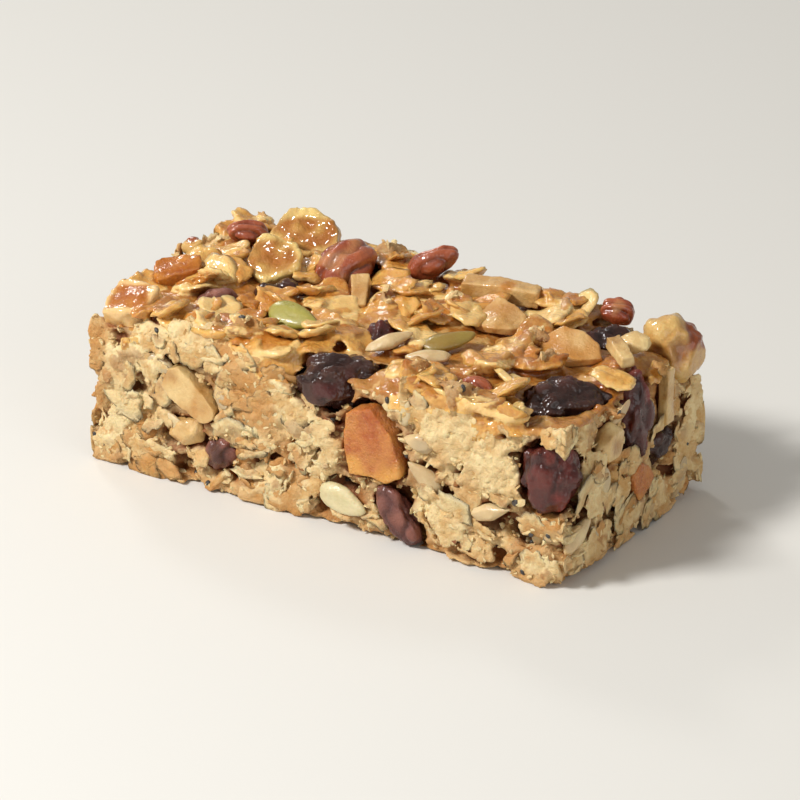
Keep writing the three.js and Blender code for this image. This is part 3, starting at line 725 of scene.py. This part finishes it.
def loose_layer(face, draw, pitch, out, largest_lean, longest, level=0.0):
    """More flakes for a face: one for each cell of this size, at a drawn place, lean and size. Level
    is the share of them that lie level and show their edges on a cut side."""
    columns, lines = cells(face, pitch)
    count = columns * lines
    cell = np.arange(count)
    column = cell % columns + 0.5 + 0.9 * (draw.random(count) - 0.5)
    line = cell // columns + 0.5 + 0.9 * (draw.random(count) - 0.5)
    length = longest * (0.62 + 0.38 * draw.random(count))
    lean = math.radians(largest_lean) * np.sqrt(draw.random(count))
    toward = 2 * math.pi * draw.random(count)
    is_level = draw.random(count) < level
    lean = np.where(is_level, math.radians(62) + math.radians(28) * draw.random(count), lean)
    toward = np.where(is_level, math.pi / 2 + 0.4 * draw.normal(size=count), toward)
    return np.stack([
        (column / columns - 0.5) * face.length * 0.98,
        face.low + line / lines * (face.high - face.low),
        out[0] + (out[1] - out[0]) * draw.random(count),
        length,
        length * (0.6 + 0.3 * draw.random(count)),
        2 * math.pi * draw.random(count),
        lean,
        toward,
        np.zeros(count),
    ], 1)


print("the CAD has", sum(len(solid_flakes(FACES[name])) for name in ("top",) + CUT_SIDES),
      "places for flakes and kernels on the five sides that show")

# %% [markdown]
# A flake only stays where it would in a real bar. It may not hide a piece of fruit or nut that the
# photograph shows, so rays go from it into the bar and look for one. It may not hang in the air, so
# enough of it has to touch what lies below. And it may not stand out past the cut of the knife, so
# what would is eased back behind a slightly wavy cut.

# %% Which flakes stay, and the knife's cut
TRIED, REACH_MM, TOUCH_MM = 14, 8.0, 0.35  # points tried on each flake, depth looked to, gap that holds


def some_points(points):
    """A few points of each flake, spread over it, to try it at."""
    return points[:, ::max(1, points.shape[1] // TRIED)]


def hides_a_piece(points, face, allowed):
    """Which flakes lie over a piece of fruit or nut with more than the allowed number of points."""
    inward = Vector(-directions(face)[2])

    def hits(p):
        return pieces_tree.ray_cast(Vector(p) - 0.6 * inward, inward, REACH_MM)[0] is not None

    return np.array([sum(map(hits, flake)) > allowed for flake in some_points(points)])


def is_held(points, tree, needed):
    """Which flakes touch or enter a surface with enough of their points, so that none hangs in the air."""
    def touches(p):
        near, normal, _, away = tree.find_nearest(Vector(p))
        return away < TOUCH_MM or (Vector(p) - near).dot(normal) < 0

    return np.array([sum(map(touches, flake)) >= needed for flake in some_points(points)])


def trimmed(points, softness=0.6):
    """Points that the knife would cut off, eased back behind a slightly wavy cut."""
    points = np.array(points)
    wavy = 0.1 + 0.35 * (smooth_noise(points.reshape(-1, 3), 7, 15).reshape(points.shape[:-1]) + 1)
    for axis, half in ((0, HALF_LENGTH), (1, HALF_WIDTH)):
        start = half - wavy - softness
        over = np.maximum(np.abs(points[..., axis]) - start, 0)
        eased = np.sign(points[..., axis]) * (start + softness * (1 - np.exp(-over / softness)))
        points[..., axis] = np.where(over > 0, eased, points[..., axis])
    return points


def laid(face, rows, draw, kind, tree, allowed=1, needed=4):
    """Flakes for one face at the places given, those that are held and hide no piece: points,
    triangles, tone and share of the way to the rim."""
    thin, thick = kind.thick
    thickness = thin + (thick - thin) * draw.random(len(rows))
    sizes = np.stack([rows[:, LONG], rows[:, WIDE], thickness], 1)
    points, triangles, reach = oat_flakes(draw, kind, sizes)
    points = np.einsum("nij,nkj->nki", turns(face, rows), points)
    points = trimmed(points + places(face, rows)[:, None])
    tone = np.broadcast_to(draw.random((len(rows), 1)), reach.shape)
    shown = ~hides_a_piece(points, face, allowed) & is_held(points, tree, needed)
    return points[shown], triangles, tone[shown], reach[shown]


def joined(groups):
    """Many small things as one array of points, one of faces and one for each further number."""
    points, faces, numbers, start = [], [], [], 0
    for things, triangles, *own in groups:
        count, each = things.shape[:2]
        points.append(things.reshape(-1, 3))
        faces.append((triangles[None] + start + each * np.arange(count)[:, None, None]).reshape(-1, 3))
        numbers.append(np.stack([n.reshape(-1) for n in own], 1))
        start += count * each
    return np.concatenate(points), np.concatenate(faces), np.concatenate(numbers)


print("a flake in the middle of the bar would hide a piece:",
      bool(hides_a_piece(np.zeros((1, TRIED, 3)), FACES["top"], 1)[0]))

# %% [markdown]
# Most flakes are glued into the mass by syrup, which fills the corners between them. So the lower
# layers of flakes are melted into the bed: all the shapes are wrapped in one skin of small squares,
# which rounds every inner corner as a sticky film would. On the top they lie like shingles blown
# about, and some bend over the edges. On the cut sides they lean every way, because the knife tore
# them. On the base they are flat.

# %% The flakes that are glued into the mass
draw = np.random.default_rng(21)
melted = {SIDE: [], TOP: [], BASE: []}
PASTE = (35, 25, 13, 8)  # on the front, where crumb was pressed to a paste: its middle and half its size
RIM_DEPTH = 7  # how far down the cut sides the flakes of the top's rim are drawn


def own_flakes(name):
    """The flakes, not the kernels, that the CAD's oat mass has on a face."""
    rows = solid_flakes(FACES[name])
    return rows[rows[:, KERNEL] == 0]


def kept_clear(name, rows):
    """The flakes of a cut side that lie neither in a hollow nor where the crumb is a paste."""
    lump, crack = crumb_lumps(places(FACES[name], rows))
    out = (lump < HOLLOWS) & (crack > 0.06)
    if name == "front":
        out |= (((rows[:, :2] - PASTE[:2]) / PASTE[2:]) ** 2).sum(axis=1) < 1
    return rows[~out]


top = FACES["top"]
melted[TOP].append(laid(top, own_flakes("top"), draw, LARGE_GLAZED, bed_tree, needed=0))
for pitch, out, lean in ((7.4, (-0.3, 0.6), 22), (8.0, (0.5, 1.3), 30)):
    rows = loose_layer(top, draw, pitch, out, lean, 12.5)
    melted[TOP].append(laid(top, rows, draw, GLAZED_OVER, bed_tree, allowed=0, needed=0))
for name in CUT_SIDES:
    face = FACES[name]
    melted[SIDE].append(laid(face, own_flakes(name), draw, LARGE_CRUMBLY, bed_tree, needed=1))
    for pitch, out, lean, level in ((7.0, (-2.2, -1.0), 60, 0.4), (7.6, (-1.5, -0.4), 45, 0.3)):
        rows = kept_clear(name, loose_layer(face, draw, pitch, out, lean, 12.0, level))
        melted[SIDE].append(laid(face, rows, draw, CRUMBLY, bed_tree, allowed=2, needed=1))
    rows = loose_layer(face, draw, 5.5, (-3.2, -1.6), 10, 9.5)
    rows = rows[rows[:, AT_V] > CRUST - RIM_DEPTH]
    rows[:, AT_V] = CRUST - 3.2 + 1.6 * draw.random(len(rows))
    rows[:, LEAN] = math.radians(30) + math.radians(35) * draw.random(len(rows))
    rows[:, TOWARD] = math.pi / 2 + 0.3 * draw.normal(size=len(rows))
    half = len(rows) // 2
    for region, some in ((SIDE, rows[:half]), (TOP, rows[half:])):
        melted[region].append(laid(face, some, draw, AT_THE_RIM, bed_tree, allowed=2, needed=1))
base = FACES["base"]
rows = loose_layer(base, draw, 7.2, (-0.75, -0.5), 3, 10)
melted[BASE].append(laid(base, rows, draw, PRESSED_FLAT, bed_tree, needed=0))
for region, groups in melted.items():
    print("region", int(region), "has", sum(len(g[0]) for g in groups), "flakes glued in")

# %% [markdown]
# A few lumps stand out by themselves: golden ones at the bottom corners, where syrup ran down and
# baked, cream ones torn up along the top edge, glazed ones left of the dark raisin on the front,
# and the paste right of the apricot. Each is a ball, stretched and pushed uneven by noise.

# %% Lumps of syrup and of paste
LUMPS = [  # middle, half sizes, how pale, how much syrup
    ((-51.4, -24.0, 6.0), (4.6, 3.6, 5.6), 0.9, 0.6),
    ((-53.2, -12.0, 4.0), (2.6, 5.0, 4.0), 0.8, 0.5),
    ((50.6, -24.2, 4.0), (5.2, 3.4, 4.2), 0.9, 0.5),
    ((-12.0, -27.0, 2.6), (6.0, 2.2, 2.6), 0.4, 0.6),
    ((-14.0, -25.8, 30.5), (7.0, 2.2, 4.2), 0.5, 0.8),
    ((-21.5, -25.8, 28.0), (4.5, 1.8, 5.5), 0.5, 0.6),
    ((-10.4, -23.4, 32.6), (3.2, 3.4, 2.4), 0.6, 0.8),
    ((-30.5, -25.6, 33.4), (7.0, 2.0, 2.8), 1.0, 0.0),
    ((-42.0, -25.8, 30.5), (5.0, 1.6, 3.4), 0.9, 0.0),
    ((-52.8, -21.0, 27.0), (2.8, 5.0, 6.0), 0.9, 0.0),
    ((31.0, -27.2, 27.5), (7.5, 2.0, 6.0), 0.8, 0.0),
    ((39.5, -27.2, 22.0), (6.5, 2.0, 5.0), 0.9, 0.0),
    ((49.0, 27.0, 5.0), (6.0, 2.4, 4.0), 0.6, 0.5),
    ((-20.0, 27.2, 30.0), (8.0, 2.0, 4.0), 0.9, 0.0),
    ((20.0, 27.2, 10.0), (7.0, 2.0, 4.0), 0.7, 0.2),
]


def ball(rounds):
    """Points and triangles of a ball of radius 1."""
    shape = bmesh.new()
    bmesh.ops.create_icosphere(shape, subdivisions=rounds, radius=1.0)
    points = np.array([v.co for v in shape.verts])
    triangles = np.array([[v.index for v in f.verts] for f in shape.faces])
    shape.free()
    return points, triangles


GLAZE = 0.7  # a lump with more syrup than this is glazed as the top is
lump_ball, lump_triangles = ball(4)
lump_parts = []
for place, half, pale, syrup in LUMPS:
    made = lump_ball * half + place
    uneven = 0.9 * smooth_noise(made, 3.4, 17) + 0.5 * smooth_noise(made, 1.6, 19)
    made = made + lump_ball * uneven[:, None]
    lump_parts.append((trimmed(made)[None], lump_triangles, np.full((1, len(made)), pale),
                       np.full((1, len(made)), syrup)))
print("lumps:", len(LUMPS))

# %% [markdown]
# Bed, flakes and lumps now overlap in one heap. The voxel remesh wraps the heap in a single skin of
# half-millimetre squares and drops all that is inside. The skin has no numbers of its own, so each
# of its points takes them from the nearest point of the heap, on the face that lies nearest: the
# nearest point alone could belong to a flake's other side, or to the bed behind a thin flake.

# %% The skin round the mass
wrapped_points, wrapped_faces = [bed_points], bed_faces.tolist()
wrapped_numbers = [np.stack([bed_tone, bed_region, np.zeros(len(bed_points))], 1)]
wrapped_count = len(bed_points)
for region, groups in [*melted.items(), (SIDE, lump_parts)]:
    points, faces, numbers = joined(groups)
    if groups is lump_parts:
        edge, own_syrup, region = 0, numbers[:, 1], np.where(numbers[:, 1] > GLAZE, TOP, SIDE)
    else:
        edge, own_syrup = 0.3 * numbers[:, 1] ** 4, np.zeros(len(points))
    wrapped_points.append(points)
    wrapped_faces += (faces + wrapped_count).tolist()
    regions = np.broadcast_to(region, len(points))
    wrapped_numbers.append(np.stack([0.8 * numbers[:, 0] + edge, regions, own_syrup], 1))
    wrapped_count += len(points)
wrapped_points = np.concatenate(wrapped_points)
wrapped_points[:, 2] = np.maximum(wrapped_points[:, 2], 0)
wrapped_numbers = np.concatenate(wrapped_numbers)
wrapped = bpy.data.meshes.new("wrapped")
wrapped.from_pydata((wrapped_points * MM).tolist(), [], wrapped_faces)
skin_points, skin_faces = evened(wrapped, 0.5, 1)


def largest_part(points, faces):
    """The part of a surface that hangs together and has the most faces, without scraps."""
    part = np.arange(len(points))
    while True:
        lowest = part[faces].min(axis=1)
        spread = part.copy()
        for corner in range(faces.shape[1]):
            np.minimum.at(spread, faces[:, corner], lowest)
        spread = spread[spread]
        if (spread == part).all():
            break
        part = spread
    largest = np.bincount(part[faces[:, 0]]).argmax()
    used, renumbered = np.unique(faces[part[faces[:, 0]] == largest], return_inverse=True)
    return points[used], renumbered.reshape(-1, faces.shape[1])


before = len(skin_faces)
skin_points, skin_faces = largest_part(skin_points, skin_faces)
skin_out = outward(skin_points, skin_faces)
wrapped_tree = BVHTree.FromPolygons(wrapped_points.tolist(), wrapped_faces)
nearest = [wrapped_tree.find_nearest(point)[2] for point in skin_points.tolist()]
corners = np.array([(wrapped_faces[face] * 2)[:4] for face in nearest])
away = np.linalg.norm(wrapped_points[corners] - skin_points[:, None], axis=2)
source = corners[np.arange(len(corners)), away.argmin(axis=1)]
skin_tone, skin_region, skin_syrup = wrapped_numbers[source].T
print("skin:", 2 * len(skin_faces), "triangles, and", before - len(skin_faces), "squares of scraps left out")

# %% [markdown]
# Syrup gathers in the cracks and browns there, while what stands out stays pale. The darker colour in
# the cracks, in the hollows and next to fruit and nuts is painted shade as well as syrup. How deep a
# point lies is found by looking out from it in some directions and counting what is in the way, fruit
# and nuts included.

# %% How open each point of the skin lies
def openness(points, out, tree, reach, rounds=8):
    """For each point, 1 where nothing lies in front of it within reach, and 0 in a deep crack."""
    side_way = np.cross(out, np.array([0.31, 0.52, 0.79]))
    side_way /= np.maximum(np.linalg.norm(side_way, axis=1, keepdims=True), 1e-9)
    other_way = np.cross(out, side_way)
    starts = (points + 0.3 * out).tolist()
    blocked = np.zeros(len(points))
    for k in range(rounds):
        turn = 2.4 * k
        lean = math.acos(1 - 0.8 * (k + 0.5) / rounds)
        round_it = side_way * math.cos(turn) + other_way * math.sin(turn)
        ways = out * math.cos(lean) + math.sin(lean) * round_it
        for index, (start, way) in enumerate(zip(starts, ways.tolist())):
            away = tree.ray_cast(start, way, reach)[3]
            if away is not None:
                blocked[index] += 1 - 0.6 * away / reach
    return 1 - blocked / rounds


whole_faces = skin_faces.tolist() + (piece_faces + len(skin_points)).tolist()
whole_points = np.concatenate([skin_points] + piece_points)
whole_tree = BVHTree.FromPolygons(whole_points.tolist(), whole_faces)
skin_open = openness(skin_points, skin_out, whole_tree, 6.0)
print("openness: a tenth of the skin lies below", round(float(np.quantile(skin_open, 0.1)), 2),
      "and half below", round(float(np.median(skin_open)), 2))

# %% [markdown]
# At last the skin gets its grit: crumbs of a millimetre on the cut sides, and the faint waves of a
# syrup film on the top. It is split into the pieces that have finishes of their own, and the sides
# into two halves, so that no piece has too many points.

# %% The skin's grit and its pieces
fine, fine_crack = lump_noise(skin_points + 0.4 * smooth_noise(skin_points, 1.5, 8)[:, None], 1.4, 9)
in_paste = (((skin_points[:, [0, 2]] - PASTE[:2]) / PASTE[2:]) ** 2).sum(axis=1) < 1.3
in_paste &= skin_points[:, 1] < 0
grit = (0.22 * (fine - 0.5) + 0.12 * (ramp(fine_crack, 0, 0.25) - 0.6)
        + 0.14 * smooth_noise(skin_points, 0.9, 10) + 0.2 * smooth_noise(skin_points, 2.4, 12))
grit = grit * (1 + in_paste)
film = 0.2 * smooth_noise(skin_points, 1.9, 11) + 0.12 * smooth_noise(skin_points, 1.0, 13)
push = np.where(skin_region == TOP, film, np.where(skin_region == BASE, 0.3 * film, grit))
skin_points = skin_points + skin_out * push[:, None]
of_bed = source < len(bed_points)  # what shows between the flakes is darker, because syrup fills it
# Painted shade: the next lines lay the dark crack colour by how closed in each point lies, in cracks, hollows
# and next to fruit and nuts, over the syrup patches there, and fade the top's cream in the same places.
sticky = 0.3 + 0.5 * ramp(smooth_noise(skin_points, 6, 18), 0.0, 0.5) + 0.3 * ramp(skin_open, 0.6, 0.9)
amber = 1 - 0.5 * (of_bed & (skin_region == TOP))
between = of_bed & (skin_region == SIDE) & ~in_paste
lit_and_dry = ramp(skin_open, 0.18, 0.75) * np.where(between, np.minimum(sticky, 1), amber)
tone = np.clip(skin_tone + 0.3 * (fine - 0.5) * (skin_region == SIDE), 0, 1)
ran_down = 0.6 * ramp(-skin_points[:, 2], -5, -1)
patches = 0.7 * ramp(smooth_noise(skin_points, 7, 14) - 0.004 * skin_points[:, 0], 0.1, 0.7)
syrup = np.where(skin_region == BASE, 0.45, np.maximum(np.maximum(patches, ran_down), skin_syrup))
creamy = 0.6 * ramp(skin_tone, 0.6, 0.8) * lit_and_dry
skin_finish = np.stack([tone, lit_and_dry, np.where(skin_region == TOP, creamy, syrup)], 1)
face_region = skin_region[skin_faces].max(axis=1)
in_front = skin_points[skin_faces[:, 0], 1] < 0
for name, chosen, finish in (
    ("glazed_top", face_region == TOP, glazed_finish),
    ("crumbly_front", (face_region == SIDE) & in_front, crumb_finish),
    ("crumbly_back", (face_region == SIDE) & ~in_front, crumb_finish),
    ("baked_base", face_region == BASE, crumb_finish),
):
    own = skin_faces[chosen]
    used, renumbered = np.unique(own, return_inverse=True)
    own_faces = renumbered.reshape(own.shape)
    made = make_piece(name, skin_points[used], own_faces, skin_finish[used], finish)
    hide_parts("oat_mass")
    print(name, 2 * len(own), "triangles")

# %% [markdown]
# The last flakes lie loose on top of the others, with crisp thin edges: golden ones on the top, and
# on the cut sides dry broken ones, whose ragged edges are the palest thing on the bar.

# %% The loose flakes
draw = np.random.default_rng(22)
skin_tree = BVHTree.FromPolygons(skin_points.tolist(), skin_faces.tolist())
top_loose = []
for pitch, out in ((8.4, (1.0, 2.0)), (10.5, (1.2, 2.6))):
    rows = loose_layer(top, draw, pitch, out, 32, 11.5)
    top_loose.append(laid(top, rows, draw, LOOSE_GLAZED, skin_tree, allowed=0, needed=3))
points, faces, numbers = joined(top_loose)
creamy = 0.6 * ramp(numbers[:, 0], 0.7, 0.95)
finish = np.stack([0.8 * numbers[:, 0] + 0.2 * numbers[:, 1] ** 4, np.ones_like(creamy), creamy], 1)
make_piece("loose_glazed_flakes", points, faces, finish, glazed_finish)
print("loose flakes on the top:", sum(len(g[0]) for g in top_loose), "with", len(faces), "triangles")

side_loose = []
for name in CUT_SIDES:
    face = FACES[name]
    for pitch, out, longest in ((6.6, (-1.5, -0.5), 11.5), (6.0, (-1.2, -0.3), 6.5)):
        rows = kept_clear(name, loose_layer(face, draw, pitch, out, 45, longest, 0.3))
        side_loose.append(laid(face, rows, draw, LOOSE_TORN, skin_tree, allowed=2, needed=4))
points, faces, numbers = joined(side_loose)
ragged = smooth_noise(points, 1.2, 31)
finish = np.stack([0.7 * numbers[:, 0] + 0.4 * numbers[:, 1] ** 3, 0.6 + 0.4 * ramp(ragged, -0.8, 0.2),
                   0.5 * (numbers[:, 0] < 0.22)], 1)
make_piece("loose_torn_flakes", points, faces, finish, crumb_finish)
print("loose flakes on the sides:", sum(len(g[0]) for g in side_loose), "with", len(faces), "triangles")

# %% [markdown]
# Between the flakes lie crumbs: broken oat and dried syrup, in shards from half a millimetre to
# three. Each is a small ball pushed flat and out of shape, with sharp facets. They are dropped on
# chance points of the cut sides, half sunk in them.

# %% Crumbs
def chance_turns(draw, count):
    """A turn for each thing, any way round."""
    q = draw.normal(size=(count, 4))
    w, x, y, z = (q / np.linalg.norm(q, axis=1, keepdims=True)).T
    return np.stack([
        1 - 2 * (y * y + z * z), 2 * (x * y - z * w), 2 * (x * z + y * w),
        2 * (x * y + z * w), 1 - 2 * (x * x + z * z), 2 * (y * z - x * w),
        2 * (x * z - y * w), 2 * (y * z + x * w), 1 - 2 * (x * x + y * y),
    ], 1).reshape(-1, 3, 3)


def even_numbers(draw, made, low, high):
    """One chance number from low to high for each thing, the same at all its points."""
    return np.broadcast_to(low + (high - low) * draw.random((len(made), 1)), made.shape[:2])


draw = np.random.default_rng(24)
CRUMBS = 3000
small_ball, small_triangles = ball(1)
on_sides = np.flatnonzero((skin_region == SIDE) & (skin_open > 0.4) & (skin_points[:, 2] > 0.6))
chosen = draw.choice(on_sides, CRUMBS, replace=False)
size = 0.25 + 0.8 * draw.random((CRUMBS, 1, 1)) ** 2
lumpy = small_ball * (1 + 0.6 * (draw.random((CRUMBS, len(small_ball), 1)) - 0.5)) * size
lumpy = lumpy * (np.array([1.1, 0.7, 0.25]) + 0.4 * draw.random((CRUMBS, 1, 3)))
lumpy = np.einsum("nij,nkj->nki", chance_turns(draw, CRUMBS), lumpy)
lumpy = trimmed(lumpy + (skin_points[chosen] + 0.05 * skin_out[chosen])[:, None])
tone = even_numbers(draw, lumpy, 0.2, 1.0)
points, faces, finish = joined([(lumpy, small_triangles, tone, np.ones_like(tone), 0 * tone)])
crumbs = make_piece("crumbs", points, faces, finish, crumb_finish)
crumbs.data.shade_flat()
print("crumbs:", CRUMBS, "with", len(faces), "triangles")

# %% [markdown]
# Small whole kernels and seeds show all over: sunflower kernels, and poppy seeds of about 1.5 mm,
# a little larger than real ones, so that they show. Both are pushed out of balls too: round at one
# end, pointed at the other and flat. Some lie on chance points of the cut sides, and the rest of
# the kernels where the CAD's oat mass has them.

# %% Small kernels and seeds
def kernels(draw, count, ball_points, length, width, thick, taper):
    """Kernels lying flat, round at one end and pointed at the other, each a little different."""
    size = np.array([length, width, thick]) / 2 * (0.8 + 0.35 * draw.random((count, 1, 3)))
    narrow = 1 - taper * (0.5 + 0.5 * ball_points[:, :1]) ** 2
    shape = ball_points * np.concatenate([np.ones_like(narrow), narrow, 0.4 + 0.6 * narrow], 1)
    bend = 0.12 * (draw.random((count, 1)) - 0.5) * ball_points[:, 0] ** 2
    made = shape[None] * size
    made[:, :, 1] += bend * size[:, :, 0]
    return made


def dropped(draw, made, chosen, sunk, lean):
    """Things laid flat on chance points of the skin, a little leaning, sunk by a depth in mm."""
    count = len(made)
    normal = skin_out[chosen] + lean * draw.normal(size=(count, 3))
    normal = normal / np.linalg.norm(normal, axis=1, keepdims=True)
    along = np.cross(normal, draw.normal(size=(count, 3)))
    along = along / np.linalg.norm(along, axis=1, keepdims=True)
    turn = np.stack([along, np.cross(normal, along), normal], 2)
    return trimmed(np.einsum("nij,nkj->nki", turn, made) + (skin_points[chosen] - sunk * normal)[:, None])


draw = np.random.default_rng(25)
kernel_ball, kernel_triangles = ball(3)
seed_ball, seed_triangles = ball(2)
KERNELS, SEEDS = 26, 80
shape = kernels(draw, KERNELS, kernel_ball, 7, 3.3, 2.4, 0.6)
made = [dropped(draw, shape, draw.choice(on_sides, KERNELS), 0.7, 0.2)]
for name in ("top",) + CUT_SIDES:
    rows = solid_flakes(FACES[name])
    rows = rows[rows[:, KERNEL] == 1]
    shape = kernels(draw, len(rows), kernel_ball, 9.0, 4.6, 3.2, 0.65)
    turned = np.einsum("nij,nkj->nki", turns(FACES[name], rows), shape) + places(FACES[name], rows)[:, None]
    made.append(trimmed(turned[~hides_a_piece(turned, FACES[name], 2)]))
made = np.concatenate(made)
tone, grey = even_numbers(draw, made, 0.0, 0.9), even_numbers(draw, made, 0.0, 0.6)
points, faces, finish = joined([(made, kernel_triangles, tone, np.ones_like(tone), grey)])
make_piece("small_kernels", points, faces, finish, sunflower_finish)
print("small kernels:", len(made), "with", len(faces), "triangles")

shape = kernels(draw, SEEDS, seed_ball, 1.5, 1.2, 1.0, 0.2)
made = dropped(draw, shape, draw.choice(on_sides, SEEDS), -0.1, 0.3)
tone = even_numbers(draw, made, 0.0, 1.0)
points, faces, finish = joined([(made, seed_triangles, tone, np.ones_like(tone), 0 * tone)])
make_piece("poppy_seeds", points, faces, finish, dark_seed_finish)
print("poppy seeds:", SEEDS, "with", len(faces), "triangles")

# %% [markdown]
# The bar lies on a plain pale floor. A soft light from the upper left leaves the right end in shade,
# as a window does. A weak one behind the bar glances off the syrup, which makes it glisten, and
# another one fills the shade.

# %% The floor and the lights
floor_mesh = bpy.data.meshes.new("floor")
FLOOR = -0.05 * MM  # just below the bar, so that the two faces don't flicker
corners = [(x, y, FLOOR) for x, y in ((-3, -3), (3, -3), (3, 3), (-3, 3))]
floor_mesh.from_pydata(corners, [], [(0, 1, 2, 3)])
floor = bpy.data.objects.new("floor", floor_mesh)
bpy.context.scene.collection.objects.link(floor)
floor_material = bpy.data.materials.new("pale_studio_paper")
floor_material.use_nodes = True
paper = floor_material.node_tree.nodes["Principled BSDF"]
paper.inputs["Base Color"].default_value = linear("#DAD7D0")
paper.inputs["Roughness"].default_value = 0.8
floor_mesh.materials.append(floor_material)

world = bpy.data.worlds.new("studio")
world.use_nodes = True
world.node_tree.nodes["Background"].inputs["Color"].default_value = linear("#F4F2EE")
world.node_tree.nodes["Background"].inputs["Strength"].default_value = 0.38
bpy.context.scene.world = world
bpy.context.scene.view_settings.view_transform = "Standard"

AZIMUTH, ELEVATION = math.radians(32.3), math.radians(25.3)
to_right = Vector((math.cos(AZIMUTH), math.sin(AZIMUTH), 0))
to_camera = Vector((math.sin(AZIMUTH) * math.cos(ELEVATION), -math.cos(AZIMUTH) * math.cos(ELEVATION),
                    math.sin(ELEVATION)))
level_back = Vector((-math.sin(AZIMUTH), math.cos(AZIMUTH), 0))
middle = Vector((0, 0, 0.017))


def soft_light(name, right, back, up, size, watts):
    """A square soft box that faces the bar: its place from the bar's middle, as the camera sees it, and
    its side, in metres."""
    place = right * to_right + back * level_back + Vector((0, 0, up))
    data = bpy.data.lights.new(name, "AREA")
    data.size = size
    data.energy = watts
    light = bpy.data.objects.new(name, data)
    light.location = middle + place
    light.rotation_euler = (-place).to_track_quat("-Z", "Y").to_euler()
    bpy.context.scene.collection.objects.link(light)


soft_light("key", -0.62, -0.28, 0.66, 0.2, 9.6)
soft_light("gloss", -0.36, 0.78, 0.52, 0.16, 1.6)
soft_light("fill", 0.5, -0.7, 0.3, 0.6, 1.6)

# %% [markdown]
# The camera stands a metre away, 32 degrees round to the right of the long side and 25 above the
# floor. From so far off, the lens is long and lines stay nearly parallel. At the bar's middle a
# millimetre is 4.9 pixels of the photograph's 800, which gives the lens, and that middle lies at
# pixel 395 across and 398 down, which gives the small shift.

# %% The camera
PIXELS, PIXELS_PER_MM, MIDDLE_PIXEL = 800, 4.9, (395, 398)
camera_data = bpy.data.cameras.new("camera")
camera_data.sensor_width = 36
camera_data.lens = PIXELS_PER_MM * camera_data.sensor_width * to_camera.length / MM / PIXELS
camera_data.shift_x = (PIXELS / 2 - MIDDLE_PIXEL[0]) / PIXELS
camera_data.shift_y = (MIDDLE_PIXEL[1] - PIXELS / 2) / PIXELS
camera = bpy.data.objects.new("camera", camera_data)
camera.location = middle + to_camera
camera.rotation_mode = "QUATERNION"
camera.rotation_quaternion = (-to_camera).to_track_quat("-Z", "Y")
bpy.context.scene.collection.objects.link(camera)
bpy.context.scene.camera = camera
print("camera: a lens of", round(camera_data.lens, 1), "mm at", round(to_camera.length, 2), "m")

# %% [markdown]
# The box of the CAD model is printed, in millimetres. Each piece built on it was kept inside it when
# it was made.

# %% The sizes, and the end
print("frame", [np.round(np.array(c) / MM, 2).tolist() for c in cad_box])
